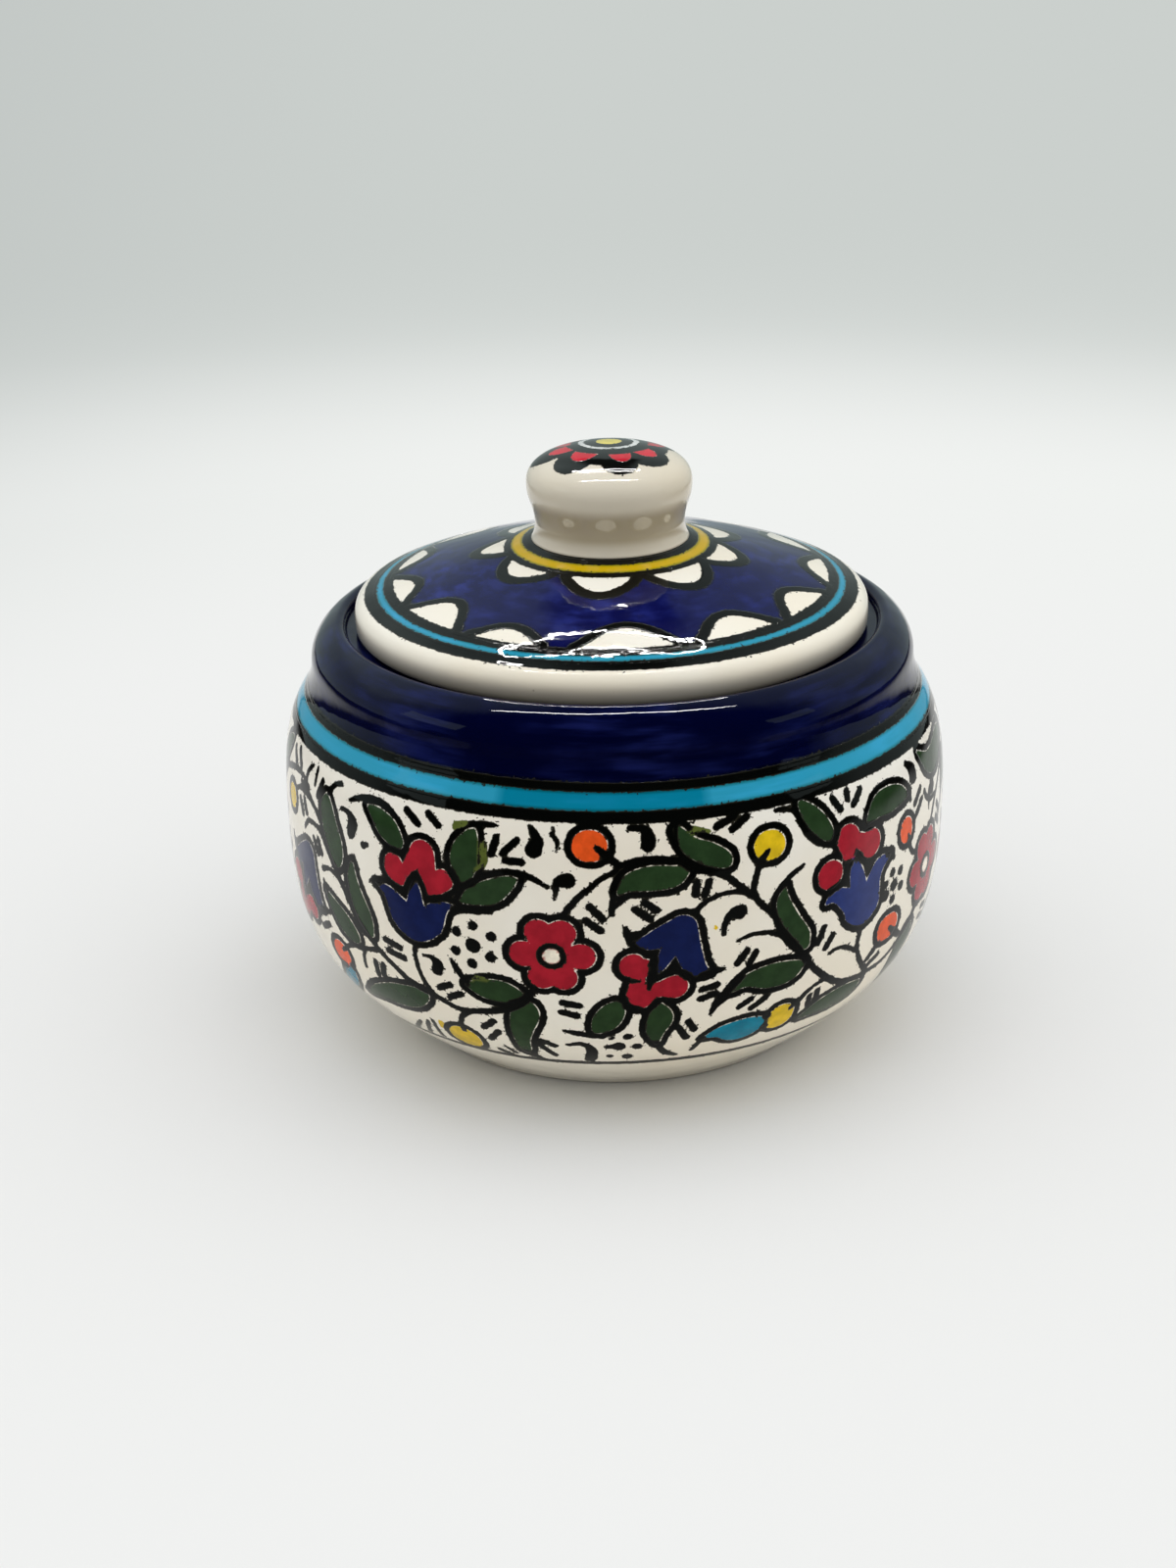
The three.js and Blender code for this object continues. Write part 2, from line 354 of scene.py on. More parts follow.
class Painting:
    """Distances in millimetres, negative inside, from each point of a grid to the nearest black line and to
    the nearest patch of colour, with that patch's paint."""

    def __init__(self, x, y, full_turn=False):
        self.x, self.y = x.ravel(), y.ravel()
        self.full_turn = full_turn
        self.lines, self.outlines, self.solid, self.fill = (np.full(x.size, FAR) for _ in range(4))
        self.tint = np.tile(linear("cream"), (x.size, 1))
        self.wash = np.zeros(x.size)

    def near(self, strokes):
        """The points that the strokes can reach, with x counted on from the strokes' own side."""
        knots = np.vstack(strokes)
        low = (knots[:, :2] - knots[:, 2:]).min(axis=0) - FAR
        high = (knots[:, :2] + knots[:, 2:]).max(axis=0) + FAR
        x = self.x
        if self.full_turn:
            middle = (low[0] + high[0]) / 2
            x = middle + (self.x - middle + 180) % 360 - 180
        inside = (x > low[0]) & (x < high[0]) & (self.y > low[1]) & (self.y < high[1])
        return np.flatnonzero(inside), x[inside], self.y[inside]

    def lay(self, here, edge, laid, paint, outline):
        """Adds a patch: edge is the distance to its drawn shape and laid to its colour."""
        closer = laid < self.fill[here]
        self.fill[here[closer]] = laid[closer]
        self.tint[here[closer]] = linear(paint)
        self.solid[here] = np.minimum(self.solid[here], edge)
        if outline:
            band = np.abs(edge - outline / 2) - outline / 2
            self.outlines[here] = np.minimum(self.outlines[here], band)

    def heart(self, x, y):
        """The white eye of a flower and the black ring round it."""
        here, points_x, points_y = self.near([np.array([(x, y, HEART_RING)])])
        eye = disc(points_x, points_y, x, y, HEART_EYE)
        self.lines[here] = np.minimum(self.lines[here], np.maximum(eye + HEART_EYE - HEART_RING, -eye))
        white = eye < 0
        self.tint[here[white]] = linear("cream")

    def patch(self, paint, strokes, outline=OUTLINE):
        here, x, y = self.near(strokes)
        edge, laid = (
            np.min([stroke_distance(x + slip_x, y + slip_y, s) for s in strokes], axis=0)
            for slip_x, slip_y in ((0, 0), SLIP)
        )
        self.lay(here, edge, laid, paint, outline)

    def line(self, stroke):
        here, x, y = self.near([stroke])
        self.lines[here] = np.minimum(self.lines[here], stroke_distance(x, y, stroke))

    def washed(self, paint, edge):
        """Paint laid with a broad brush on the turning wheel, wherever edge is negative."""
        self.lay(np.arange(self.x.size), edge, edge, paint, outline=0)
        self.wash[edge < 1] = 1

    def blacked(self, edge):
        self.lines = np.minimum(self.lines, edge)

    def ink(self):
        """Outlines give way a little inside the neighbouring patches; free strokes lie over everything."""
        return np.minimum(np.maximum(self.outlines, -(self.solid + OUTLINE_OVERLAP)), self.lines)


class Spray:
    """Patches (paint, strokes), smears of paint with no line round them, black strokes and the hearts of
    flowers, listed one by one. A spray can be copied round the jar."""

    def __init__(self, patches=(), smears=(), lines=(), dashes=(), dots=(), hearts=()):
        self.patches, self.smears = (
            [(paint, [flow(s) for s in strokes]) for paint, strokes in painted] for painted in (patches, smears)
        )
        start_width, end_width = DASH_WIDTHS
        self.lines = [flow(s) for s in lines] + [flow([(x, y, radius + DOT_SPREAD)]) for x, y, radius in dots]
        self.lines += [flow([(x0, y0, start_width), (x1, y1, end_width)]) for x0, y0, x1, y1 in dashes]
        self.hearts = list(hearts)

    def copied(self, low, high, turn, squeeze=1.0, left_out=()):
        """What lies between two turns, moved so that the first of them comes to lie at a new turn. Long
        strokes are cut at the ends. Nothing is copied whose middle is in a box (x, x, y, y) left out."""
        made = Spray()

        def place(stroke):
            return np.column_stack([turn + (stroke[:, 0] - low) * squeeze, stroke[:, 1:]])

        def wanted(strokes):
            x, y = np.vstack(strokes)[:, :2].mean(axis=0)
            return not any(x0 < x < x1 and y0 < y < y1 for x0, x1, y0, y1 in left_out)

        for kind in ("patches", "smears"):
            for paint, strokes in getattr(self, kind):
                if low <= np.vstack(strokes)[:, 0].mean() < high and wanted(strokes):
                    getattr(made, kind).append((paint, [place(s) for s in strokes]))
        for stroke in self.lines:
            cut = stroke[(stroke[:, 0] >= low) & (stroke[:, 0] < high)]
            if (len(cut) > 1 or (len(cut) and len(stroke) == 1)) and wanted([stroke]):
                made.lines.append(place(cut))
        made.hearts = [(turn + (x - low) * squeeze, y) for x, y in self.hearts if low <= x < high]
        return made

    def painted(self, painting):
        for paint, strokes in self.smears:
            painting.patch(paint, strokes, outline=0)
        for paint, strokes in self.patches:
            painting.patch(paint, strokes)
        for stroke in self.lines:
            painting.line(stroke)
        for x, y in self.hearts:
            painting.heart(x, y)


def leaf(*points):
    return ("green", [points])


def berry(paint, x, y, across, up):
    """A berry a little wider or taller than round: one fat short stroke."""
    if across >= up:
        return (paint, [[(x - across + up, y, up), (x + across - up, y, up)]])
    return (paint, [[(x, y - up + across, across), (x, y + up - across, across)]])


def flower(x, y):
    """Six round petals about a disc."""
    petals = [(4.8, 0.2), (1.8, 4.4), (-1.9, 4.3), (-4.5, 0.1), (-1.6, -3.9), (1.8, -3.9)]
    return ("red", [[(x + dx, y + dy, 2.4)] for dx, dy in petals] + [[(x, y, 4)]])


# The nodding tulip, drawn about the turn where its bell hangs

NODDING_BELL = [
    [(10.4, 48.3, 2.5), (11.3, 44.5, 2.2), (12.5, 41, 1.8), (14.8, 39.6, 0.3)],
    [(9.5, 47.9, 2.4), (6.8, 46.9, 1.9), (4.8, 46.2, 1.3), (2.9, 46.8, 0.3)],
    [(9, 46, 1.8), (7.9, 43.6, 1.3), (6.9, 41.6, 0.9), (6.1, 39.9, 0.15)],
]
NODDING_HEART = [
    [(2.6, 41.9, 2.3), (3.8, 41.2, 1.7)],
    [(4.6, 42.4, 0.8)],
    [(3.6, 35.8, 2.4), (3.3, 38.6, 1.3), (3.4, 40, 1.2)],
    [(9.2, 37.4, 2.3), (7.2, 37.2, 1.6), (5.2, 36.6, 1.5)],
]
NODDING_LINES = [
    [(1.4, 49, 0.5), (1.9, 47.4, 0.8), (3.2, 47, 0.5)],
    [(13.6, 39, 0.7), (16, 39.6, 0.7), (17.4, 39.7, 0.35)],
    [(1, 39.2, 0.5), (2.6, 39, 0.45), (3.6, 38.9, 0.3)],
    [(5.2, 38.6, 0.6), (5, 37.4, 0.5)],
]


def shifted(strokes, turn):
    return [[(x + turn, y, half) for x, y, half in stroke] for stroke in strokes]


# The vine round the belly, as points (turn, length up the wall from the foot, half width). A dash is (turn and
# length of its start, of its end) and a dot (turn, length, radius).

FRONT = Spray(
    patches=[
        ("red", [
            [(-38.2, 55.4, 1.95), (-37.9, 54.5, 2.15), (-36.8, 52.9, 1.1)],
            [(-32.3, 58.6, 2.45), (-31.6, 56.5, 1.9), (-31, 54.2, 1.2), (-30.9, 52.2, 0.6)],
            [(-33.6, 58, 1.6), (-35, 55.5, 1.2), (-36.3, 52.6, 0.7)],
            [(-28.4, 54.8, 1.95), (-29.6, 53.6, 1.7), (-30.6, 52.2, 0.9)],
        ]),
        ("blue", [
            [(-35.7, 45.8, 3), (-34.2, 45.1, 3), (-32.5, 45.8, 3)],
            [(-36.8, 46.6, 2.7), (-38.5, 48.9, 1.7), (-40, 50.1, 1), (-42.2, 50.8, 0.1)],
            [(-31.2, 46.6, 2.7), (-29.6, 48.9, 1.7), (-28.2, 50, 0.9), (-26.3, 50.5, 0.15)],
            [(-34, 46.5, 2.6), (-33.9, 49, 1.75), (-33.8, 51.5, 1.15), (-33.75, 54, 0.1)],
        ]),
        leaf((-51.5, 24.4, 0.1), (-47, 26.9, 1.5), (-42, 28.4, 2.5), (-38, 29.4, 2.5), (-35.2, 30.6, 1.6),
             (-33.8, 31.3, 0.5)),
        leaf((-24.9, 35.9, 0.6), (-22, 35.6, 1.9), (-19, 35.6, 2.2), (-16.3, 35.4, 1), (-15.6, 35.2, 0.2)),
        leaf((-14.7, 33.4, 0.9), (-15.3, 31.5, 2.4), (-16.4, 28, 2.1), (-16.9, 24.5, 1.45), (-16.9, 21.5, 1.1),
             (-16.9, 20, 0.3)),
        leaf((-22.8, 64.6, 0.2), (-23.6, 63, 1.4), (-24.5, 60.2, 2.4), (-24.6, 57.6, 2.1), (-24.9, 55.6, 0.5)),
        leaf((-25.2, 51.6, 0.3), (-22.9, 53, 1.6), (-20, 54.2, 2.15), (-17.2, 56.1, 1.3), (-15.6, 57.1, 0.2)),
        leaf((-44.6, 64, 0.2), (-42.2, 63, 1.4), (-39.6, 61.3, 2.2), (-37.5, 59.7, 1.4), (-36.4, 58.9, 0.3)),
        leaf((-48.3, 52.2, 0.5), (-48.3, 49.5, 1.3), (-47.6, 47, 1.7), (-45.8, 43, 2), (-44.5, 40.2, 0.7)),
        leaf((0.4, 55.2, 0.3), (2.2, 57, 1.5), (5.2, 57.6, 2.15), (8.8, 57.7, 1.9), (11, 58.6, 0.8)),
        leaf((10.1, 65.2, 0.9), (12, 62.6, 1.6), (14.8, 61, 1.95), (17, 59.8, 1.6), (18, 58.9, 0.6)),
        leaf((18.6, 34.9, 0.3), (21.5, 36.6, 1.3), (25.5, 36.5, 2.4), (29, 36.5, 2.15), (31.9, 37.4, 0.5)),
        leaf((0.4, 34.6, 0.5), (-0.6, 33, 1.9), (-1.8, 31, 2.3), (-3, 29.2, 1.4), (-3.9, 28, 0.2)),
        leaf((7, 34, 0.4), (7.1, 31.2, 2.1), (6.4, 28.5, 1.75), (6.4, 26.5, 1.1), (6.8, 24.4, 0.3)),
        ("turquoise", [
            [(14.9, 24.6, 0.2), (17.8, 25.6, 1.5), (21.5, 25.1, 3), (24, 25.7, 2.3), (25.6, 26.3, 0.9)],
        ]),
        berry("yellow", -28.9, 21.4, 3.2, 3.5),
        berry("orange", -4, 63.3, 2.9, 2.65),
        berry("yellow", 25.2, 60.7, 2.85, 2.6),
        flower(-10.4, 43.5),
        ("blue", NODDING_BELL),
        ("red", NODDING_HEART),
    ],
    smears=[
        ("olive", [[(-21.4, 62.2, 0.9), (-21.2, 59.5, 0.9), (-22, 58, 0.7)]]),
        ("olive", [[(-26, 64.6, 0.9), (-24.4, 65.2, 0.7)]]),
        ("olive", [[(-24, 37.4, 0.6), (-22.6, 37.9, 0.7), (-21.4, 37.6, 0.5)]]),
        ("olive", [[(12.5, 65.2, 0.8), (15, 64.6, 0.5)]]),
        ("yellow", [[(15.8, 47.7, 0.4)]]),
        ("yellow", [[(-32.9, 24.6, 0.7), (-33.3, 23, 0.5)]]),
    ],
    hearts=[(-10.4, 43.5)],
    lines=NODDING_LINES + [
        [(-41.5, 50.9, 0.6), (-44, 50.4, 0.3)],
        [(-34.6, 41.3, 0.55), (-34.8, 39, 0.5), (-34.4, 36.4, 0.5), (-33.4, 33.7, 0.55), (-32.2, 32, 0.6)],
        [(-48, 42, 0.7), (-45, 39.1, 0.6), (-42.7, 37.3, 0.6), (-40, 35.4, 0.6), (-37.3, 33.5, 0.7),
         (-35, 32.6, 0.8), (-32.3, 31.8, 0.7), (-29.6, 30.6, 0.6), (-27, 29.9, 0.65), (-23.5, 30.4, 0.7),
         (-20, 31.4, 0.8), (-17.5, 32.6, 0.9), (-15, 34.5, 0.8), (-13.5, 37, 0.7)],
        [(-25, 36, 0.5), (-26.5, 38, 0.65), (-27.5, 40, 0.5), (-28, 40.6, 0.2)],
        [(-17.2, 20.2, 0.8), (-15.8, 18.8, 0.9), (-14.4, 17.6, 0.6)],
        [(-23.3, 65.3, 0.5), (-21, 65.6, 0.6), (-19.1, 65.6, 0.4)],
        [(-22.6, 56.6, 0.5), (-19, 57.7, 0.6), (-15.6, 58.1, 0.6), (-13, 57.3, 0.6), (-10.6, 56, 0.45)],
        [(-26.8, 49.8, 0.6), (-23, 50.2, 0.6), (-20.3, 50.6, 0.6)],
        [(-49.3, 63.4, 0.4), (-47, 64.5, 0.6), (-44.5, 65.2, 0.6), (-41.5, 65.3, 0.6), (-39, 64.4, 0.6)],
        [(-28.4, 24, 0.5), (-28.2, 26.2, 0.55), (-27.3, 28.4, 0.6), (-25.8, 29.7, 0.6)],
        [(-8.1, 51.6, 0.6), (-6.2, 54.1, 0.6), (-4.2, 56, 0.55), (-2.3, 57.7, 0.5), (0, 59.1, 0.6)],
        [(-13.6, 66, 0.5), (-12.4, 63.9, 1), (-12.9, 62.3, 1.5)],
        [(-10.3, 65, 0.4), (-9.2, 64, 0.45), (-9.4, 62, 0.25)],
        [(-9.9, 66, 0.3), (-9.6, 64, 0.3)],
        [(-7.6, 57.3, 1.4), (-9, 57, 0.9), (-9.5, 55, 0.4), (-9.6, 53.9, 0.3)],
        [(-33.1, 39.7, 0.35), (-31.5, 39.7, 0.5), (-30.4, 38.6, 1.1), (-30.7, 37.4, 1.15)],
        [(-8.8, 24.1, 0.5), (-6.2, 24.6, 0.6), (-4.8, 22.8, 1), (-5, 20, 1.2), (-5.3, 18.9, 1.1)],
        [(-21, 21.2, 0.4), (-19.6, 19, 0.6)],
        [(-22.5, 19.2, 0.8), (-21, 18, 0.7)],
        [(-38.7, 22.5, 0.4), (-42.5, 18.2, 0.6)],
        [(-36.4, 23.6, 0.45), (-39, 18.3, 0.6)],
        [(-35, 24.4, 0.45), (-35.6, 18.5, 0.6)],
        [(-47, 36, 0.4), (-47.8, 34.5, 0.5), (-47.9, 32.2, 0.5)],
        [(2.3, 66.2, 0.6), (4.6, 65.9, 0.8), (5.2, 64.2, 1.25), (5.1, 63.2, 1.2)],
        [(17.1, 46.4, 0.5), (17.3, 48.3, 0.6), (18.4, 49.8, 0.9), (19.7, 49.9, 1.4)],
        [(12.5, 51.2, 0.6), (14.2, 52.7, 0.5), (16.8, 53.6, 0.5), (19.8, 53.6, 0.55), (21.6, 52.6, 0.6)],
        [(19.5, 44.7, 0.4), (22, 45.3, 0.45), (24.6, 45.1, 0.5), (27, 44, 0.55), (28.9, 41.9, 0.6)],
        [(-2.9, 63, 0.55), (-1.4, 61.6, 0.8), (0.3, 60.2, 0.7)],
        [(1, 58.8, 0.5), (-0.2, 56, 0.5), (-0.6, 53, 0.6), (-0.8, 51.4, 0.5)],
        [(-0.6, 52.5, 0.5), (1.2, 54.2, 0.5), (3, 55, 0.5)],
        [(0.3, 59.8, 0.6), (3, 60.6, 0.65), (6.5, 60.9, 0.6), (10, 60.2, 0.7), (12, 58.7, 0.7),
         (14.2, 58.1, 0.7), (17.3, 56.8, 0.65), (19.6, 54.7, 0.65), (21.9, 52.5, 0.6), (23.8, 50.2, 0.65),
         (25.6, 48.3, 0.65), (26.9, 45.6, 0.65), (28.8, 42.9, 0.65)],
        [(9.6, 66.3, 0.5), (9.5, 64, 0.5), (9.9, 62.2, 0.5)],
        [(24.8, 59.8, 0.5), (23.6, 58.4, 0.7), (22.6, 56, 0.6), (22.1, 53.6, 0.6), (22.6, 52, 0.6)],
        [(15.4, 30.8, 0.4), (16.5, 33.4, 0.8), (18.4, 35.5, 0.8), (20.5, 37.6, 0.6)],
        [(15.6, 31.6, 0.5), (17.6, 33.8, 0.8)],
        [(13.3, 20.8, 0.5), (13.9, 22.8, 0.6), (15, 24.6, 0.5)],
        [(-9, 28, 0.45), (-6.8, 27.6, 0.7), (-4.6, 27, 0.6), (-2.6, 26.8, 0.6)],
        [(6.4, 25, 0.5), (7.4, 22.6, 0.7), (8.6, 20.8, 0.8), (10.4, 19.6, 0.6)],
        [(1.6, 34, 0.7), (3.8, 32.9, 0.7), (4.4, 31.6, 0.5)],
    ],
    dashes=[
        (-36, 65.4, -33.3, 63.5), (-31.6, 65.7, -29.5, 64), (-19.1, 63.7, -19.9, 60.8),
        (-15.7, 63.6, -18, 61.1), (-17.6, 60, -14.9, 60), (-4.2, 52.9, -2.1, 50.6),
        (-4.8, 50.4, -2.5, 48.5), (-41.3, 40.3, -37.9, 39.7), (-40.8, 38.3, -37.5, 37.8),
        (-30.8, 33.7, -28.5, 35), (-29, 32.2, -26.7, 33.5), (-9, 34.5, -6.3, 34),
        (-9.3, 32.5, -6.7, 31.8), (-23.8, 26.4, -21.5, 28.5), (-23.3, 23.1, -21.1, 25.8),
        (-13.5, 24.8, -11.2, 23.5), (-14.2, 23.7, -11.7, 20), (-44.7, 34.6, -44.8, 31.7),
        (-42.8, 34.6, -43.3, 32.3), (16.2, 65.2, 19.5, 66.6), (18.8, 64.4, 21.5, 66.2),
        (12.7, 56.3, 12.5, 54.2), (14.7, 56.3, 13.9, 53.8), (4.4, 53.4, 6.3, 51.9),
        (2.9, 52.3, 5.3, 50.4), (21.1, 42.5, 19.5, 40.3), (22.7, 42, 21.6, 39.7),
        (20.4, 31.2, 22.5, 32.5), (22.7, 30.4, 25.2, 32.2), (13.7, 36.2, 16.2, 36.8),
        (13.5, 34.3, 16, 35), (11.7, 29.7, 12.9, 27.5), (10, 28.5, 11.7, 25.4),
    ],
    dots=[
        (-23.5, 43.8, 1.25), (-23.3, 47.5, 0.75), (-26.3, 45.9, 0.8), (-20.2, 46, 0.8),
        (-26.7, 42.2, 0.8), (-20.5, 42.1, 0.85), (-23.9, 40.3, 0.85), (0, 23.9, 1.15), (1.6, 26.8, 0.75),
        (-1.1, 26.5, 0.4), (3.3, 23.8, 0.8), (-1.9, 23.8, 0.6), (-1.6, 20.4, 0.55), (1.5, 20.2, 0.9),
        (-45.2, 56.6, 0.6), (-44.4, 57, 0.4), (-47.7, 53.8, 0.35),
    ],
)

RIGHT = Spray(
    patches=[
        leaf((27.8, 52.6, 0.2), (27.5, 50, 1.3), (29.1, 46, 1.75), (31, 43, 1.75), (31.9, 41, 1)),
        leaf((34.4, 24, 0.6), (38, 25.4, 2), (42, 25.9, 2.6), (45.5, 26.4, 1.9), (47.2, 27.6, 0.4)),
        leaf((45.6, 59.4, 0.6), (48.4, 61.2, 2), (51.4, 61.3, 2.4), (54.6, 61, 1.8), (57.4, 60.2, 0.4)),
        leaf((31.8, 66.2, 0.8), (33.4, 63.8, 1.8), (35, 61.6, 1.9), (36.4, 59.9, 1.2), (36.6, 59.2, 0.4)),
        leaf((63.5, 65.5, 0.4), (67, 62.6, 1.8), (71, 62, 2.4), (76, 63.5, 2), (80, 64.5, 0.5)),
        berry("yellow", 29.2, 26.2, 2.7, 3.2),
        berry("orange", 56.7, 53.8, 2.1, 2.4),
        berry("orange", 52.3, 37, 3.2, 2.5),
        ("red", [
            [(36.7, 52.5, 2.65)],
            [(40.6, 57.8, 2.65), (40.8, 55.2, 1.6)],
            [(45.9, 55.4, 2.65)],
            [(41.5, 57.4, 1.6), (43.8, 56.4, 1.5), (45.5, 55.6, 1.8)],
        ]),
        ("bright blue", [
            [(42.9, 44.3, 2.9), (44.4, 43.6, 3), (45.8, 44.4, 2.9)],
            [(42, 45.2, 2.2), (40, 47.2, 1.8), (37.8, 48.3, 1.2), (35.9, 47.4, 0.3)],
            [(46.4, 45.6, 2.3), (47, 48.4, 1.8), (48.6, 50.6, 1.4), (51.4, 51.3, 0.3)],
            [(43.6, 46, 2), (43, 49, 1.9), (42.3, 52, 1.3), (41.6, 54.4, 0.2)],
        ]),
    ],
    lines=[
        [(28.8, 42.9, 0.65), (30.8, 40.2, 0.7), (32.5, 37.5, 0.7), (35.4, 34.3, 0.7), (37.7, 32.2, 0.75),
         (40.8, 30.2, 0.7), (44.6, 29.3, 0.65), (48.1, 29.2, 0.65), (51.5, 29.2, 0.65), (54.4, 30, 0.6),
         (57, 31.6, 0.6), (59, 32.8, 0.8), (61.4, 34.5, 0.8), (62.9, 37, 0.7)],
        [(27, 52.8, 0.6), (28.9, 54.6, 0.6), (31.2, 55.8, 0.4)],
        [(57.6, 60.6, 0.6), (58.4, 58.6, 0.5)],
        [(26.8, 66.2, 0.5), (29.8, 65.6, 0.5), (31, 63.6, 0.6), (32.6, 61, 0.6), (35, 58.6, 0.6),
         (37, 57.8, 0.6)],
        [(30.8, 27.8, 0.5), (32.4, 29.4, 0.7), (34, 31, 0.5), (36.4, 32.1, 0.5), (38, 32, 0.6)],
        [(57.4, 52.6, 0.45), (57.9, 50.6, 0.6), (58.8, 49, 0.6), (60.2, 48.2, 0.6)],
        [(53, 36.6, 0.5), (54.8, 35, 0.7), (57, 33.4, 0.7)],
        [(50.5, 51.6, 0.6), (52.6, 50.2, 0.5)],
        [(44, 39.4, 0.6), (43.8, 36.8, 0.55), (44.6, 34.1, 0.55), (46.2, 31.8, 0.6), (48.1, 29.5, 0.7)],
        [(37, 37.5, 0.35), (39, 37.9, 0.45), (41.4, 37.2, 0.5), (43.6, 35.7, 0.55)],
        [(58.2, 65.4, 0.6), (59.8, 63.8, 1.2), (60.1, 62.4, 1.45)],
        [(64.4, 58, 0.6), (65.5, 56.2, 0.55), (68, 55.3, 0.55), (70, 55.4, 0.5)],
    ],
    dashes=[
        (34.4, 29.3, 34.8, 27.2), (36, 30.2, 36.2, 28.3), (37.9, 65.6, 39.4, 63.3),
        (41.3, 66, 41.2, 64.7), (44.4, 65.4, 42.3, 63.3), (35.7, 43.1, 34.5, 40.4),
        (37.6, 41, 36.2, 38.9), (47.5, 32.4, 48.9, 33.7), (48.3, 30.9, 50.6, 32), (62.5, 59.3, 60, 57.4),
        (62.9, 57.2, 60.4, 55.2),
    ],
    dots=[
        (52.9, 44.9, 1), (52.3, 47.5, 0.75), (54.8, 46.9, 0.8), (50.3, 45.8, 0.75), (50.5, 43.7, 0.9),
        (55.2, 43.9, 0.8), (52.7, 42.2, 0.75),
    ],
)

LEFT = Spray(
    patches=[
        leaf((-56, 62, 0.6), (-55.8, 60, 1.9), (-54.6, 57, 2.4), (-53, 54, 2.3), (-52.6, 51.5, 1.4),
             (-53.2, 50.4, 0.2)),
        leaf((-57, 44, 0.3), (-54.8, 42, 1.4), (-52, 39.8, 2.2), (-49.6, 38.2, 1.6), (-48.4, 37.4, 0.4)),
        leaf((-80.2, 59.6, 0.3), (-79.6, 61.4, 1.3), (-78.2, 63.4, 1.8), (-76.4, 65, 1.1), (-75.2, 65.8, 0.2)),
        leaf((-80.4, 34, 0.3), (-80, 32, 1.4), (-78.8, 29.6, 2), (-77, 27.6, 1.4), (-75.6, 26.6, 0.3)),
        ("turquoise", [[(-54.2, 28.6, 1.2), (-55.8, 26.6, 1.8), (-58.5, 23.6, 1.5), (-61.5, 21.6, 0.6)]]),
        berry("orange", -55.4, 32, 2.7, 2.7),
        berry("yellow", -71.5, 56.4, 2.3, 2.3),
        ("blue", shifted(NODDING_BELL, -74)),
        ("red", shifted(NODDING_HEART, -74)),
    ],
    lines=shifted(NODDING_LINES, -74) + [
        [(-55.8, 62.6, 0.5), (-54.2, 64.4, 0.55), (-52.6, 65.3, 0.5), (-51.6, 65.4, 0.4)],
        [(-57.8, 45.6, 0.5), (-57, 43.6, 0.5)],
        [(-66.5, 61, 0.6), (-63.5, 60.2, 0.6), (-60, 58.3, 0.6), (-58.2, 56.8, 0.6)],
        [(-53.2, 49.6, 0.6), (-51.2, 46.8, 0.7), (-49.5, 44.2, 0.7), (-48, 42, 0.7)],
        [(-43.6, 37.4, 0.6), (-46.5, 36.6, 0.5), (-49.5, 36, 0.5), (-52, 35, 0.5), (-53.8, 33.6, 0.5),
         (-54.6, 33, 0.4)],
        [(-58.2, 57, 0.6), (-60.5, 58.5, 0.55), (-63.5, 59.5, 0.5), (-67, 59.6, 0.45), (-69.5, 58.4, 0.5)],
        [(-63, 61, 0.6), (-66.5, 62.2, 0.55), (-70.5, 62, 0.6), (-75, 60.8, 0.6)],
        [(-64.2, 61.2, 0.5), (-64, 63.6, 0.55), (-62.2, 65.4, 0.45)],
        [(-57.7, 47.9, 0.6), (-55.5, 48.7, 0.5), (-53, 48.2, 0.5), (-51, 46.6, 0.6)],
        [(-64.6, 53.2, 0.5), (-62.8, 55, 0.5), (-60, 55.3, 0.5), (-57.8, 54.6, 0.6), (-55.5, 52, 0.6),
         (-53.5, 49.8, 0.6)],
        [(-51.7, 61.2, 0.35), (-49.6, 61.3, 0.6), (-48, 59.8, 1.2), (-48.4, 58.2, 1.2), (-48.4, 57.2, 0.6)],
        [(-60.4, 65.6, 0.5), (-60.6, 62.3, 0.45)],
        [(-82.2, 51.6, 0.5), (-81, 54.4, 0.6), (-79, 57.6, 0.65), (-77, 59.8, 0.6), (-75, 60.8, 0.6)],
        [(-80.2, 59.6, 0.5), (-80.4, 57.6, 0.45), (-79.6, 56.6, 0.4)],
        [(-77.6, 37.6, 0.5), (-79, 36.4, 0.6), (-80.4, 34, 0.5)],
    ],
    dashes=[
        (-57.9, 64, -59.3, 60.9), (-66.7, 57.7, -65.3, 55.4), (-64.8, 58.3, -63.5, 56.2),
        (-60.7, 52.5, -59.3, 50.3), (-80.6, 51.2, -79, 49.4), (-79, 53, -77.4, 51.2),
        (-75.4, 34.6, -73.2, 34.2), (-75.6, 32.6, -73.4, 32), (-58.9, 52.9, -57.9, 50.7),
        (-61.2, 37.9, -58.5, 39.4), (-60.9, 35.3, -57.8, 37), (-72.5, 65.2, -70.4, 63.2),
        (-69.7, 65.8, -67.5, 63.4),
    ],
    dots=[
        (-77.8, 43.2, 0.95), (-79, 45.2, 0.7), (-76.4, 45, 0.75), (-79.4, 41.8, 0.7), (-76.2, 41.6, 0.8),
        (-77.8, 47.2, 0.65),
    ],
)

FRONT_TURNS = (-48, 29)  # the stretch of vine that repeats round the jar
SIDE_TURN = 76  # from a motif at the front to its like at the side
BACK_SQUEEZE = 0.868  # two more lengths of the vine close the round behind
FLOWER_SIDE, BERRY_SIDE = -17.9, -4  # where the right side's copy of the front starts, and the left side's ends

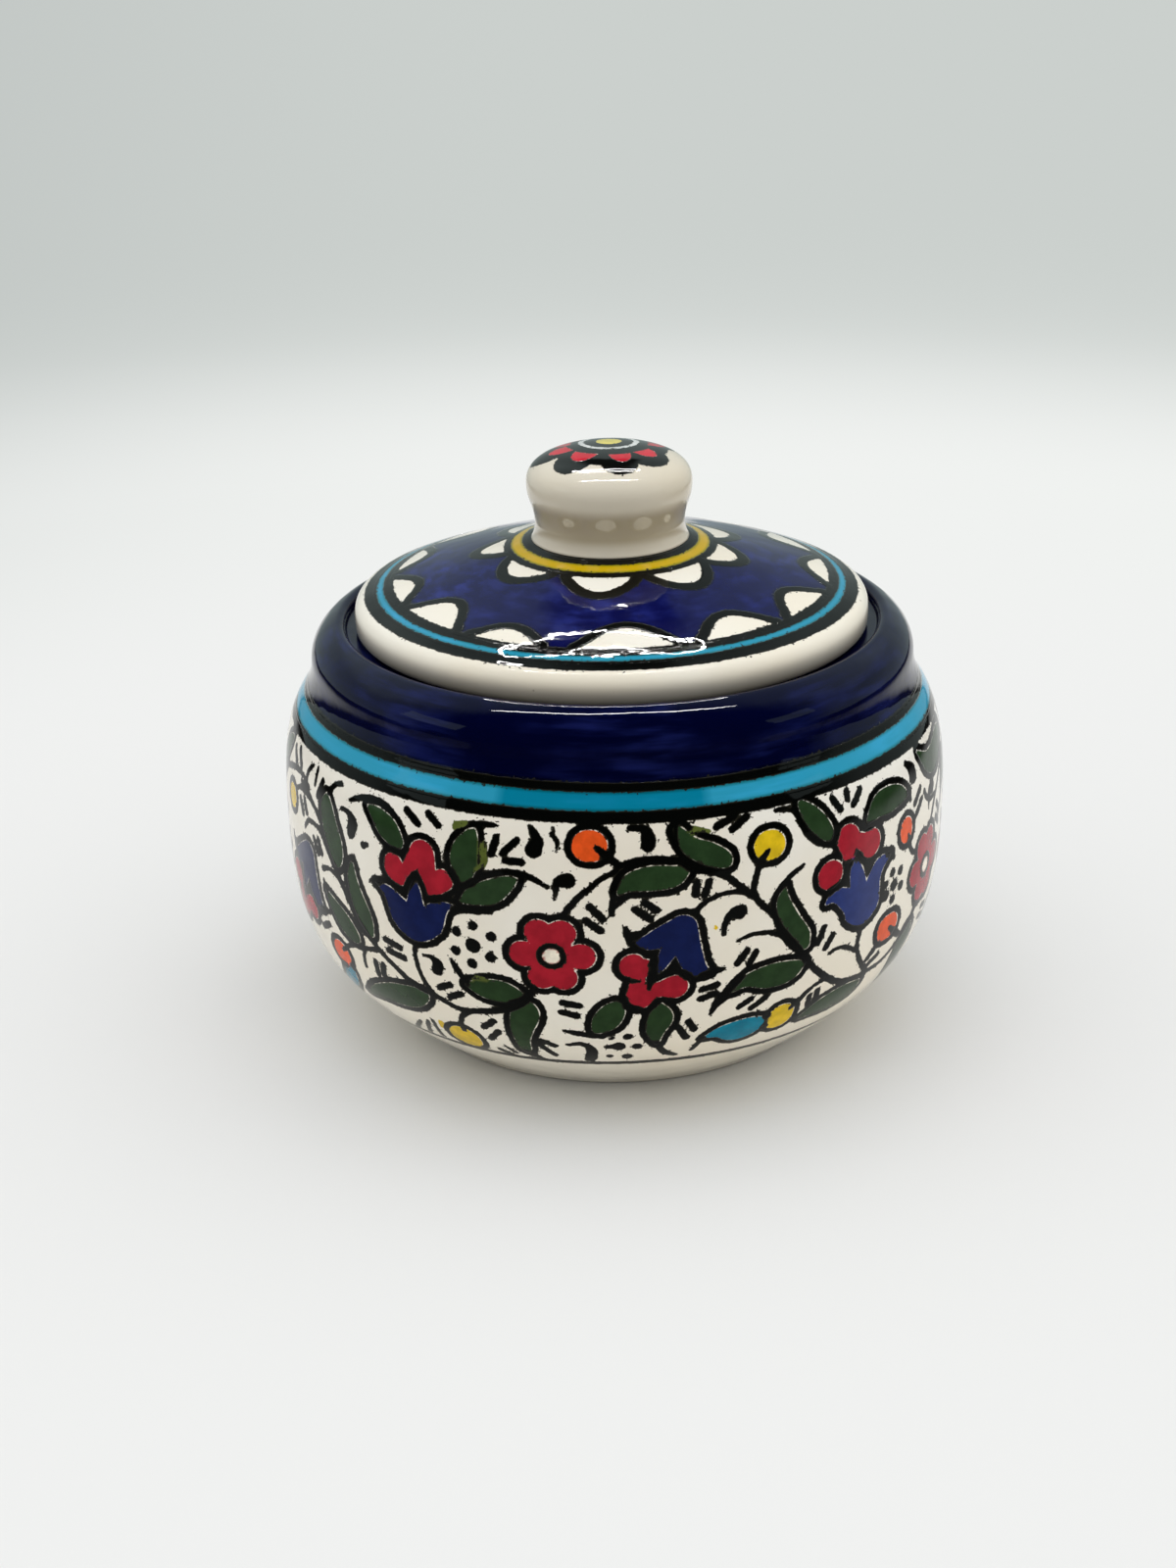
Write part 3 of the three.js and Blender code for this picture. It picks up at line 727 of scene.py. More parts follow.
# Boxes (turn, turn, length, length) that a copy leaves out: a corner that a side has in another form, and the
# long leaf, in whose place it has a short one
TOP_CORNER = (-18, 2, 56.5, 67)
LONG_LEAF = (-45, -38, 26, 30)
SHORT_LEAF = Spray(patches=[leaf((-46.2, 27.4, 0.1), (-43, 28.2, 1.7), (-38.5, 29.2, 2.4), (-35.2, 30.6, 1.6),
                                 (-33.8, 31.3, 0.5))])


def painted_frieze(turn, length):
    """The vine round the belly: given point by point at the front and sides, and repeated behind."""
    painting = Painting(turn, length, full_turn=True)
    low, high = FRONT_TURNS
    right_end = high + SIDE_TURN
    vine_length = (high - low) * BACK_SQUEEZE
    for spray in (FRONT, RIGHT, LEFT):
        spray.painted(painting)
    FRONT.copied(FLOWER_SIDE, high, FLOWER_SIDE + SIDE_TURN, left_out=[TOP_CORNER]).painted(painting)
    FRONT.copied(low, BERRY_SIDE, low - SIDE_TURN, left_out=[LONG_LEAF]).painted(painting)
    SHORT_LEAF.copied(low, BERRY_SIDE, low - SIDE_TURN).painted(painting)
    for start in (right_end, right_end + vine_length):
        FRONT.copied(low, high, start, BACK_SQUEEZE, left_out=[LONG_LEAF]).painted(painting)
        SHORT_LEAF.copied(low, high, start, BACK_SQUEEZE).painted(painting)
    return painting


# Bands and rings, as (middle, half width): round the jar by length from the foot, round the lid by radius

TURQUOISE_BAND = (70.5, 2)
BAND_LINES = [(67.95, 1.05), (72.85, 0.8)]
THIN_LINE = (17, 0.78)
COBALT_START = 73.2
COBALT_END = jar_section().marks["throat"] - jar_section().marks["foot"]
DARKER_FRONT_TURNS = (-2.5, 17.5)  # middle and half of the turns at the front where the turquoise is darker
# how far the darker and the lighter turquoise overlap
TURQUOISE_LAP = 0.6
BAND_SWAY = [(0.13, 2, 40), (0.08, 5, 0)]  # waves of the brush: how far, how many round, where they start
COBALT_RING = (18.4, 39.5)  # from this radius to that
YELLOW_RING = (16.6, 1.5)
TURQUOISE_RING = (41.1, 1.2)
BLACK_RINGS = [(14.7, 0.9), (18.3, 0.65), (39.6, 0.92), (42.85, 1.1)]

# Wedges are arches (turn of the middle, half its turn, radii of its base and its tip). All petals stand on one
# circle and all scallops on another, so theirs have no base.

PETAL_BASE = 18.6
PETALS = [(-92, 12, 23), (-50, 16, 22), (-5, 16.5, 22.9), (37.5, 16.5, 23.1), (75, 14.5, 22.9),
          (115, 16, 23.4), (154, 15, 23), (192, 16, 23.6), (230, 15.5, 23.2)]
SCALLOP_BASE = 39
SCALLOPS = [(-107, 10.5, 35.2), (-80, 10.5, 35.1), (-54, 10.5, 33.2), (-28, 9.5, 35.4), (4, 12.5, 33.4),
            (34.5, 11, 33.9), (62, 10.5, 34.2), (91.5, 11, 35.1), (119, 11, 34), (146, 10.5, 34.6),
            (172.5, 11, 33.8), (199, 10.5, 34.4), (226, 11, 34.1)]
PETAL_LINE, SCALLOP_LINE = 1.1, 0.85  # half widths of the lines inside their edges
WASH_GAP = 0.3  # from the edge of a petal or scallop to the cobalt
WEDGES = [(-68, 15, 7.6, 11.2), (-30, 16, 8, 11.3), (13, 13.5, 8.2, 11.2), (46, 14, 8, 11), (91, 15, 7, 10),
          (140, 15, 6.3, 8.8), (185, 16, 6.1, 8.4), (228, 15, 6.3, 8.8), (262, 14, 6.8, 9.8)]
PETAL_FULLNESS, SCALLOP_FULLNESS, WEDGE_FULLNESS = 0.7, 1.2, 0.35  # less than 1 is fuller than a cosine
ROSETTE_BACK = 3.9  # how far behind the axis the painter set the middle of the knob's rosette
ROSETTE_SQUEEZE = 0.94  # how much shallower its back half is
ROSETTE = (0, -1.8, 10.4)  # the disc in its middle, and round it lobes (turn, distance out, radius)
LOBES = [(-70, 11.1, 3.3), (-32.5, 11.4, 3.5), (9, 11.7, 3.2), (40, 9.8, 4.1), (95, 9.2, 2.8), (140, 7.6, 2.6),
         (185, 6.9, 2.6), (230, 7.6, 2.6), (265, 8.8, 2.8)]
EYE_RADIUS = 2.3
WHITE_RING = (4.9, 0.5)
COLOUR_LAP = 0.1


def band(place, middle, half_width):
    """Distance to the edge of a band or a ring, negative inside."""
    return np.abs(place - middle) - half_width


def arches(turn, radius, shapes, fullness):
    """Distance to the nearest of some arches that stand on circles, outwards or inwards, negative inside."""
    distance = np.full(turn.shape, AWAY)
    for middle, half_turn, base, tip in shapes:
        across = radius * np.radians((turn - middle + 180) % 360 - 180)
        half_width = base * math.radians(half_turn)
        side = 1 if tip > base else -1
        shape = arch(across, side * (radius - base), half_width, side * (tip - base), fullness)
        distance = np.minimum(distance, shape)
    return distance


def painted_jar(turn, length):
    """Bands over the frieze: a thin line under it, and black, turquoise, black and cobalt above. At the front
    the turquoise is darker than round the rest of the jar."""
    painting = painted_frieze(turn, length)
    sway = sum(reach * np.sin(np.radians(count * turn + start)) for reach, count, start in BAND_SWAY)
    turquoise, darker_front = band(length + sway, *TURQUOISE_BAND), band(turn, *DARKER_FRONT_TURNS)
    painting.washed("turquoise", np.maximum(turquoise, darker_front - TURQUOISE_LAP))
    painting.washed("light turquoise", np.maximum(turquoise, -darker_front - TURQUOISE_LAP))
    painting.washed("cobalt", np.maximum(COBALT_START - (length + sway), length - COBALT_END))
    for line in BAND_LINES:
        painting.blacked(band(length + sway, *line))
    painting.blacked(band(length - sway, *THIN_LINE))
    return painting


def painted_lid(turn, radius):
    """White petals and scallops left in a cobalt wash, with black outlines, and rings inside and outside."""
    painting = Painting(radius * np.sin(np.radians(turn)), -radius * np.cos(np.radians(turn)))
    petals, scallops = (
        arches(turn, radius, [(middle, half_turn, base, tip) for middle, half_turn, tip in shapes], fullness)
        for shapes, base, fullness in (
            (PETALS, PETAL_BASE, PETAL_FULLNESS),
            (SCALLOPS, SCALLOP_BASE, SCALLOP_FULLNESS),
        )
    )
    start, end = COBALT_RING
    white = np.minimum(petals, scallops)
    painting.washed("light cobalt", np.maximum.reduce([start - radius, radius - end, WASH_GAP - white]))
    painting.washed("deep yellow", band(radius, *YELLOW_RING))
    painting.washed("light turquoise", band(radius, *TURQUOISE_RING))
    for ring in BLACK_RINGS:
        painting.blacked(band(radius, *ring))
    painting.blacked(np.maximum(band(petals, PETAL_LINE, PETAL_LINE), PETAL_BASE - radius))
    painting.blacked(np.maximum(band(scallops, SCALLOP_LINE, SCALLOP_LINE), radius - SCALLOP_BASE))
    return painting


def painted_knob(turn, radius):
    """A black rosette with red wedges, a white ring and a yellow eye left open in it, set behind the axis."""
    x, y = radius * np.sin(np.radians(turn)), -radius * np.cos(np.radians(turn)) - ROSETTE_BACK
    y = np.where(y < 0, ROSETTE_SQUEEZE * y, y)
    painting = Painting(x, y)
    radius, turn = np.hypot(x, y), np.degrees(np.arctan2(x, -y))
    rosette = disc(x, y, *ROSETTE)
    for middle, out, reach in LOBES:
        lobe_x, lobe_y = out * math.sin(math.radians(middle)), -out * math.cos(math.radians(middle))
        rosette = np.minimum(rosette, disc(x, y, lobe_x, lobe_y, reach))
    wedges = arches(turn, radius, WEDGES, WEDGE_FULLNESS)
    eye, ring = radius - EYE_RADIUS, band(radius, *WHITE_RING)
    for edge, paint in ((wedges, "bright red"), (eye, "pale yellow"), (ring, "white")):
        painting.lay(np.arange(turn.size), edge, edge - COLOUR_LAP, paint, outline=0)
    painting.blacked(np.maximum.reduce([rosette, -eye, -ring, -wedges]))
    return painting


# Turned surfaces

RIPPLES = [(2, 0.09, 0.7, 1), (3, -0.17, 2.1, 1), (7, 0.33, 0, 0.6)]  # (number round, climb, start, share)
RIPPLE_FADE = 4


def hand_ripple(turn, along, start, end, depth):
    """How far the hand-turned wall lies inside the true one: slow sine waves round and along, from none to
    depth, which fade out towards both ends of a stretch."""
    waves = sum(
        share * np.sin(count * np.radians(turn) + climb * along + phase)
        for count, climb, phase, share in RIPPLES
    )
    highest = sum(share for *_, share in RIPPLES)
    fade = np.clip((along - start) / RIPPLE_FADE, 0, 1) * np.clip((end - along) / RIPPLE_FADE, 0, 1)
    return -depth * (0.5 + waves / (2 * highest)) * fade


def ring_faces(columns):
    """Faces from each ring of points to the next. Equal rings give four-sided faces, a pole gives triangles,
    and between a coarse ring and a fine one each coarse step is one face."""
    faces = []
    first = np.cumsum(columns) - columns
    for low_count, high_count, low_first, high_first in zip(columns, columns[1:], first, first[1:]):
        count = max(low_count, high_count) if 1 in (low_count, high_count) else min(low_count, high_count)
        step = np.arange(count)[:, None]
        low_ratio, high_ratio = low_count // count, high_count // count
        low_side = low_first + (low_ratio * step + np.arange(low_ratio + 1)) % low_count
        high_side = high_first + (high_ratio * (step + 1) - np.arange(high_ratio + 1)) % high_count
        faces += np.hstack([low_side, high_side]).tolist()
    return faces


def ring_steps(columns):
    """For each point of rings of so many columns: its ring, and its step round that ring."""
    ring = np.repeat(np.arange(len(columns)), columns)
    return ring, np.arange(len(ring)) - np.repeat(np.cumsum(columns) - columns, columns)


def turned(angle, radius, height):
    """Points about the z axis, at an angle from the front: (radius sin angle, -radius cos angle, height)."""
    return np.column_stack([radius * np.sin(angle), -radius * np.cos(angle), height])


def new_piece(name, points, faces):
    """An object at the origin with a smooth mesh, from points in metres and faces."""
    mesh = bpy.data.meshes.new(name)
    mesh.from_pydata(points.tolist(), [], faces)
    mesh.shade_smooth()
    piece = bpy.data.objects.new(name, mesh)
    bpy.context.scene.collection.objects.link(piece)
    return piece


def turned_piece(name, section, coarse, zones, paint, ripple, bare):
    """A piece turned about the axis: each point of its section at each turn, moved along the section's normal
    by the ripple. paint is a function of (turn, length along the section, radius), ripple of (turn, length), and
    bare, which is 1 where the clay is bare, of the length."""
    radius, height, length, columns = section.rings(coarse, zones)
    columns[radius < 1e-6] = 1
    normal = np.column_stack([np.gradient(height, length), -np.gradient(radius, length)])
    normal /= np.hypot(*normal.T)[:, None]
    ring, step = ring_steps(columns)
    turn = (360 * step / columns[ring] + 180) % 360 - 180
    along, radius, height, normal = length[ring], radius[ring], height[ring], normal[ring]
    painting = paint(turn, along, radius)
    bareness = bare(along)
    offset = ripple(turn, along)
    radius, height = radius + offset * normal[:, 0], height + offset * normal[:, 1]
    points = turned(np.radians(turn), radius, height) * MM
    piece = new_piece(name, points, ring_faces(columns))
    attributes = piece.data.attributes
    for attribute, values in (
        ("ink", painting.ink()), ("fill", painting.fill), ("wash", painting.wash), ("bare", bareness),
    ):
        attributes.new(attribute, "FLOAT", "POINT").data.foreach_set("value", values.astype(np.float32))
    tint = np.column_stack([painting.tint, np.ones(len(points))]).astype(np.float32)
    attributes.new("tint", "FLOAT_COLOR", "POINT").data.foreach_set("color", tint.ravel())
    return piece


# Columns round each piece, and how many times as many its painted zones have

JAR_COLUMNS, LID_COLUMNS, KNOB_COLUMNS = 176, 150, 320
FINER = 4
FRIEZE_START, FRIEZE_END, BANDS_END = 16.2, 67.2, 76  # lengths up the wall from the foot
JAR_RIPPLE, LID_RIPPLE, KNOB_RIPPLE = 0.12, 0.1, 0.1


def jar_piece():
    """The jar: painted up the wall and into the throat, and wiped bare under the base and the foot ring."""
    section = jar_section()
    foot, crest, ledge, throat, end = (section.marks[m] for m in ("foot", "crest", "ledge", "throat", "end"))
    zones = [
        (foot - 6, 3, 1), (foot + 2, 0.35, 1), (foot + FRIEZE_START, 1, 1), (foot + FRIEZE_END, 0.52, FINER),
        (foot + BANDS_END, 0.4, 1), (crest - 3, 0.8, 1), (ledge + 1, 0.35, 1), (throat + 1, 0.6, 1),
        (end - 30, 2.5, 1), (end, 10, 1),
    ]
    return turned_piece(
        "jar_painted", section, JAR_COLUMNS, zones,
        paint=lambda turn, along, radius: painted_jar(turn, along - foot),
        ripple=lambda turn, along: hand_ripple(turn, along, foot + 6, crest - 2, JAR_RIPPLE),
        bare=lambda along: np.clip((foot + 0.5 - along) / 0.6, 0, 1),
    )


def lid_piece():
    """The lid: painted on the dome, and wiped nearly bare round the flange."""
    section = lid_section()
    flange, seat, rim, crown, end = (section.marks[m] for m in ("flange", "seat", "rim", "crown", "end"))
    zones = [
        (14, 7, 1), (flange - 2, 1.5, 1), (seat + 1, 0.35, 1), (rim - 6, 0.5, 1), (rim, 0.45, FINER),
        (crown, 0.45, FINER), (end, 7, 1),
    ]
    return turned_piece(
        "lid_painted", section, LID_COLUMNS, zones,
        paint=lambda turn, along, radius: painted_lid(turn, np.where(along > rim - 3, radius, AWAY)),
        ripple=lambda turn, along: hand_ripple(turn, along, rim, crown, LID_RIPPLE),
        bare=lambda along: 0.9 * np.clip(1 - np.abs(along - (flange + seat) / 2) / 6, 0, 1),
    )


def knob_piece():
    """The knob: painted on top and glazed all over."""
    section = knob_section()
    foot, bulge, end = (section.marks[m] for m in ("foot", "bulge", "end"))
    zones = [(foot - 1, 7, 1), (foot + 2, 0.4, 1), (bulge - 1, 0.7, 1), (end - 3, 0.4, 1), (end, 1, 1)]
    return turned_piece(
        "knob_painted", section, KNOB_COLUMNS, zones,
        paint=lambda turn, along, radius: painted_knob(turn, np.where(along > bulge - 1, radius, AWAY)),
        ripple=lambda turn, along: hand_ripple(turn, along, foot + 1, end - 6, KNOB_RIPPLE),
        bare=lambda along: np.zeros(len(along)),
    )


# Materials


class Tree:
    """Adds nodes to a material, a world or a node group. What goes into a socket may be a number, a colour or
    another node's output."""

    def __init__(self, tree):
        self.nodes, self.links = tree.nodes, tree.links

    def put(self, socket, value):
        if isinstance(value, bpy.types.NodeSocket):
            self.links.new(value, socket)
        else:
            socket.default_value = value

    def add(self, kind, values=None, **settings):
        node = self.nodes.new("ShaderNode" + kind)
        for setting, value in settings.items():
            setattr(node, setting, value)
        for key, value in (values or {}).items():
            self.put(node.inputs[key], value)
        return node

    def math(self, operation, *values):
        return self.add("Math", dict(enumerate(values)), operation=operation).outputs[0]

    def times(self, first, second):
        return self.math("MULTIPLY", first, second)

    def times_plus(self, first, second, third):
        return self.math("MULTIPLY_ADD", first, second, third)

    def larger(self, first, second):
        return self.math("MAXIMUM", first, second)

    def from_axis(self, place):
        """Distance from the z axis."""
        return self.math("SQRT", self.math("ADD", *[self.math("POWER", place[axis], 2.0) for axis in "XY"]))

    def fade(self, value, start, end, low=0.0, high=1.0):
        """A smooth step from low to high as the value goes from start to end."""
        values = {"Value": value, "From Min": start, "From Max": end, "To Min": low, "To Max": high}
        return self.add("MapRange", values, interpolation_type="SMOOTHSTEP").outputs["Result"]

    def mix(self, factor, first, second, blend="MIX"):
        node = self.add("Mix", data_type="RGBA", blend_type=blend, clamp_factor=True)
        for index, value in ((0, factor), (6, first), (7, second)):
            self.put(node.inputs[index], value)
        return node.outputs[2]

    def noise(self, vector, scale, detail=2.0, roughness=0.5):
        """Noise between 0 and 1, with so many cells to the metre."""
        values = {"Vector": vector, "Scale": scale, "Detail": detail, "Roughness": roughness}
        return self.add("TexNoise", values).outputs[0]

    def attribute(self, name, output="Fac"):
        return self.add("Attribute", attribute_name=name).outputs[output]

    def place(self):
        return self.add("TexCoord").outputs["Object"]

    def use(self, group, values):
        node = self.nodes.new("ShaderNodeGroup")
        node.node_tree = group
        for key, value in values.items():
            self.put(node.inputs[key], value)
        return node.outputs[0]


def emptied(owner):
    """The node tree of a new material or world, with nothing in it yet."""
    owner.use_nodes = True
    owner.node_tree.nodes.clear()
    return Tree(owner.node_tree)


def colour(paint):
    return (*linear(paint), 1.0)


def effect(name, output, build, **inputs):
    """A shared node group. Each input is given with a value, a tuple for a colour; the output is a colour if it
    is named Color, or else a number. build gets the tree and the inputs' sockets by name, and gives back the
    output's socket."""
    tree = bpy.data.node_groups.new(name, "ShaderNodeTree")
    for key, value in inputs.items():
        kind = "NodeSocketColor" if isinstance(value, tuple) else "NodeSocketFloat"
        tree.interface.new_socket(key, in_out="INPUT", socket_type=kind).default_value = value
    kind = "NodeSocketColor" if output == "Color" else "NodeSocketFloat"
    tree.interface.new_socket(output, in_out="OUTPUT", socket_type=kind)
    given = tree.nodes.new("NodeGroupInput").outputs
    result = build(Tree(tree), given)
    tree.links.new(result, tree.nodes.new("NodeGroupOutput").inputs[0])
    return tree


# Cells to the metre of the noises: in the edge of a colour; in the slip, its clouds and specks; in the colours,
# dabs and thin places; in bare clay; in the glaze, its sheen, orange peel and grain
WAVER_CELLS, FINE_CELLS, HAIR_CELLS = 900.0, 4200.0, 1700.0
WARMTH_CELLS, SPECK_CELLS = 28.0, 160.0
DAB_CELLS, THIN_CELLS = 330.0, 45.0
CLAY_CELLS = 420.0
SHEEN_CELLS, PEEL_CELLS, GRAIN_CELLS = 90.0, 140.0, 600.0

FINE_SHARE = 0.45  # how much of the fine waver of an edge is added to the coarse one
HAIR_REACH = -0.9
CLAY = (176, 148, 122), (203, 180, 154)
CLAY_ROUGHNESS = 0.75
GLOSS = (0.02, 0.045)  # roughness from the smoothest to the dullest glaze
SLIP_WARMTH = (0.985, 0.97, 0.945)
SPECK = (84, 66, 50)
SPECK_RARITY, SPECK_EDGE, SPECK_STRENGTH = 0.8, (0.055, 0.02), 0.75
THIN_BLACK, FULL_BLACK = (34, 33, 26), (5, 6, 5)
INK_DEPTH = (0.02, -0.3)  # distances from which black is thin, and full
DEEP_DAB, THIN_DAB = (0.35, 0.35, 0.4, 1), (1.5, 1.5, 1.45, 1)

# What a wash gains where it is thin, cobalt above all, and loses where black has bled into it
THIN_WASH, THIN_COBALT, BLED_WASH = (1.12, 1.12, 1.12, 1), (0.012, 0.018, 0.11, 1), (0.4, 0.55, 0.45, 1)

GRAIN_HEIGHT, FILL_HEIGHT = 0.012, 0.022  # in millimetres, of the glaze's grain and of the colours


def build_edge(tree, given):
    """A distance below zero becomes 1, with an edge that the brush left a little ragged, with short hairs."""
    coarse = tree.noise(tree.place(), WAVER_CELLS, 2.0)
    fine = tree.noise(tree.place(), FINE_CELLS, 1.0)
    waver = tree.math("SUBTRACT", tree.times_plus(fine, FINE_SHARE, coarse), (1 + FINE_SHARE) / 2)
    hairs = tree.fade(tree.noise(tree.place(), HAIR_CELLS, 1.0), 0.58, 0.78, 0.0, HAIR_REACH)
    waver = tree.math("ADD", waver, hairs)
    ragged = tree.times_plus(waver, given["Ragged"], given["Distance"])
    soft = given["Soft"]
    return tree.fade(ragged, soft, tree.times(soft, -1.0))


def build_slip(tree, given):
    """Slip, a little warmer in clouds, with a brown speck in the middle of some cells."""
    place = tree.place()
    warm = tree.fade(tree.noise(place, WARMTH_CELLS, 2.0), 0.35, 0.7)
    slip = tree.mix(warm, given["Color"], given["Warm"])
    speck = tree.add("TexVoronoi", {"Vector": place, "Scale": SPECK_CELLS}, feature="F1")
    chance = tree.add("SeparateColor", {0: speck.outputs["Color"]}).outputs[0]
    rare = tree.math("GREATER_THAN", chance, SPECK_RARITY)
    dark = tree.times(rare, tree.fade(speck.outputs["Distance"], *SPECK_EDGE))
    return tree.mix(tree.times(dark, SPECK_STRENGTH), slip, colour(SPECK))


def build_dabs(tree, given):
    """Colour laid in dabs: darker and fuller where the noise is low, thin and lighter where it is high."""
    cloud = tree.noise(tree.place(), given["Scale"], 3.0, 0.6)
    level = tree.fade(cloud, 0.3, 0.72)
    deep = tree.mix(given["Amount"], given["Color"], DEEP_DAB, "MULTIPLY")
    thin = tree.mix(given["Amount"], given["Color"], THIN_DAB, "MULTIPLY")
    return tree.mix(level, deep, thin)


def build_wash(tree, given):
    """Colour laid with a broad brush on the turning wheel, thin where clouds and streaks are both high. Streaks
    are noise over (the turn as a point on a circle, height less radius), drawn out round the piece and fine
    across."""
    place = tree.place()
    axes = tree.add("SeparateXYZ", {0: place}).outputs
    radius = tree.larger(tree.from_axis(axes), MM)
    around = [tree.times(tree.math("DIVIDE", axes[axis], radius), given["Round"]) for axis in "XY"]
    across = tree.times(tree.math("SUBTRACT", axes["Z"], radius), given["Across"])
    vector = tree.add("CombineXYZ", {0: around[0], 1: around[1], 2: across}).outputs[0]
    streaks = tree.noise(vector, 1.0, 3.0, 0.55)
    clouds = tree.noise(place, THIN_CELLS, 3.0, 0.6)
    thin = tree.times(tree.fade(streaks, 0.36, 0.72), tree.fade(clouds, 0.38, 0.64))
    lighter = tree.mix(1.0, given["Color"], THIN_WASH, "MULTIPLY")
    lighter = tree.mix(given["Lightened"], lighter, THIN_COBALT, "ADD")
    swept = tree.mix(thin, given["Color"], lighter)
    return tree.mix(given["Bled"], swept, tree.mix(1.0, swept, BLED_WASH, "MULTIPLY"))


def build_ink(tree, given):
    """Black over the colour, browner where it is thin near its edge."""
    depth = tree.fade(given["Distance"], *INK_DEPTH)
    return tree.mix(given["Mask"], given["Color"], tree.mix(depth, colour(THIN_BLACK), colour(FULL_BLACK)))


def build_clay(tree, given):
    """Bare clay, in clouds of two colours, where the piece was wiped."""
    cloud = tree.noise(tree.place(), CLAY_CELLS, 4.0, 0.6)
    return tree.mix(given["Bare"], given["Color"], tree.mix(cloud, colour(CLAY[0]), colour(CLAY[1])))


def build_sheen(tree, given):
    """Roughness: a gloss that is a little duller in clouds, and bare clay dull."""
    sheen = tree.fade(tree.noise(tree.place(), SHEEN_CELLS, 2.0), 0.3, 0.8, *GLOSS)
    return tree.larger(sheen, tree.times(given["Bare"], CLAY_ROUGHNESS))


def build_relief(tree, given):
    """Height in millimetres: colours stand up a little, black lines more, on a slow orange-peel ripple."""
    peel = tree.noise(tree.place(), PEEL_CELLS, 1.0, 0.4)
    grain = tree.noise(tree.place(), GRAIN_CELLS, 1.0, 0.5)
    ground = tree.times_plus(grain, GRAIN_HEIGHT, tree.times(peel, given["Peel"]))
    paint = tree.times_plus(given["Fill"], FILL_HEIGHT, ground)
    return tree.times_plus(given["Ink"], given["Line"], paint)


WHITE = (1, 1, 1, 1)
EDGE = effect("brush_edge", "Mask", build_edge, Distance=1.0, Soft=0.1, Ragged=0.3)
SPECKLED = effect("speckled_slip", "Color", build_slip, Color=WHITE, Warm=WHITE)
DABS = effect("dabbed_colour", "Color", build_dabs, Color=WHITE, Scale=300.0, Amount=0.3)
WASH = effect("wheel_wash", "Color", build_wash, Color=WHITE, Round=5.0, Across=700.0, Lightened=0.5, Bled=0.0)
INK = effect("black_lines", "Color", build_ink, Color=WHITE, Mask=0.0, Distance=1.0)
WIPED = effect("wiped_clay", "Color", build_clay, Color=WHITE, Bare=0.0)
SHEEN = effect("glaze_sheen", "Roughness", build_sheen, Bare=0.0)
RELIEF = effect("glaze_relief", "Height", build_relief, Ink=0.0, Fill=0.0, Line=0.05, Peel=0.11)

INK_EDGE, FILL_EDGE = {"Soft": 0.08, "Ragged": 0.5}, {"Soft": 0.1, "Ragged": 0.24}
BLEED_REACH = 0.6
# over this many millimetres above the lowest height of its band the painted shade fades in
SHADE_POOL_END = 1.8
COAT_IOR, COAT_ROUGHNESS = 1.6, 0.02


def glazed(name, ground, line_height, ior, peel=0.11, shade_pool=None, coated=False, streaked=(4.0, 420.0, 0.5)):
    """Clear gloss glaze over painting: ground, then colour, then black, each from the piece's own distances,
    with bare clay where the piece was wiped before firing. The pooled band is (the height where the ground
    begins to darken, where it is full, where it ends, its shade): that darkening is painted shade, and where the
    piece is coated glaze also lies thick there as a second coat. streaked says how the washes show the brush:
    how often round, how finely across, and how much lighter."""
    material = bpy.data.materials.new(name)
    tree = emptied(material)
    ink_distance, fill_distance = tree.attribute("ink"), tree.attribute("fill")
    wash, bare = tree.attribute("wash"), tree.attribute("bare")
    ink = tree.use(EDGE, {"Distance": ink_distance, **INK_EDGE})
    fill = tree.use(EDGE, {"Distance": fill_distance, **FILL_EDGE})

    base = tree.use(SPECKLED, {"Color": colour(ground), "Warm": colour(np.array(ground) * SLIP_WARMTH)})
    # Painted shade: the ground darkens over a band of height, on the lid's rim towards its underside and low on
    # the knob; a coated piece also takes a second coat of glaze on the same band
    if shade_pool:
        height = tree.add("SeparateXYZ", {0: tree.place()}).outputs["Z"]
        top, full, lowest, shade = shade_pool
        started = tree.fade(height, top * MM, full * MM)
        shade_pool_mask = tree.times(started, tree.fade(height, lowest * MM, (lowest + SHADE_POOL_END) * MM))
        base = tree.mix(shade_pool_mask, base, tree.mix(1.0, base, shade, "MULTIPLY"))

    tint = tree.attribute("tint", "Color")
    dabbed = tree.use(DABS, {"Color": tint, "Scale": DAB_CELLS, "Amount": 0.28})
    around, across, lightened = streaked
    bled = tree.times(tree.fade(ink_distance, BLEED_REACH, 0.0), wash)
    brushed = {"Color": tint, "Round": around, "Across": across, "Lightened": lightened, "Bled": bled}
    painted = tree.mix(fill, base, tree.mix(wash, dabbed, tree.use(WASH, brushed)))
    painted = tree.use(INK, {"Color": painted, "Mask": ink, "Distance": ink_distance})
    painted = tree.use(WIPED, {"Color": painted, "Bare": bare})

    height = tree.use(RELIEF, {"Ink": ink, "Fill": fill, "Line": line_height, "Peel": peel})
    bump = tree.add("Bump", {"Strength": 1.0, "Distance": MM, "Height": height})
    roughness = tree.use(SHEEN, {"Bare": bare})
    values = {"Base Color": painted, "Roughness": roughness, "IOR": ior, "Normal": bump.outputs[0]}
    shader = tree.add("BsdfPrincipled", values)
    if coated:
        tree.put(shader.inputs["Coat Weight"], shade_pool_mask)
        shader.inputs["Coat IOR"].default_value = COAT_IOR
        shader.inputs["Coat Roughness"].default_value = COAT_ROUGHNESS
    tree.add("OutputMaterial", {"Surface": shader.outputs[0]})
    return material


jar = jar_piece()
lid = lid_piece()
knob = knob_piece()
jar_glaze = glazed("jar_glaze", ground=(243, 242, 235), line_height=0.05, ior=1.3)
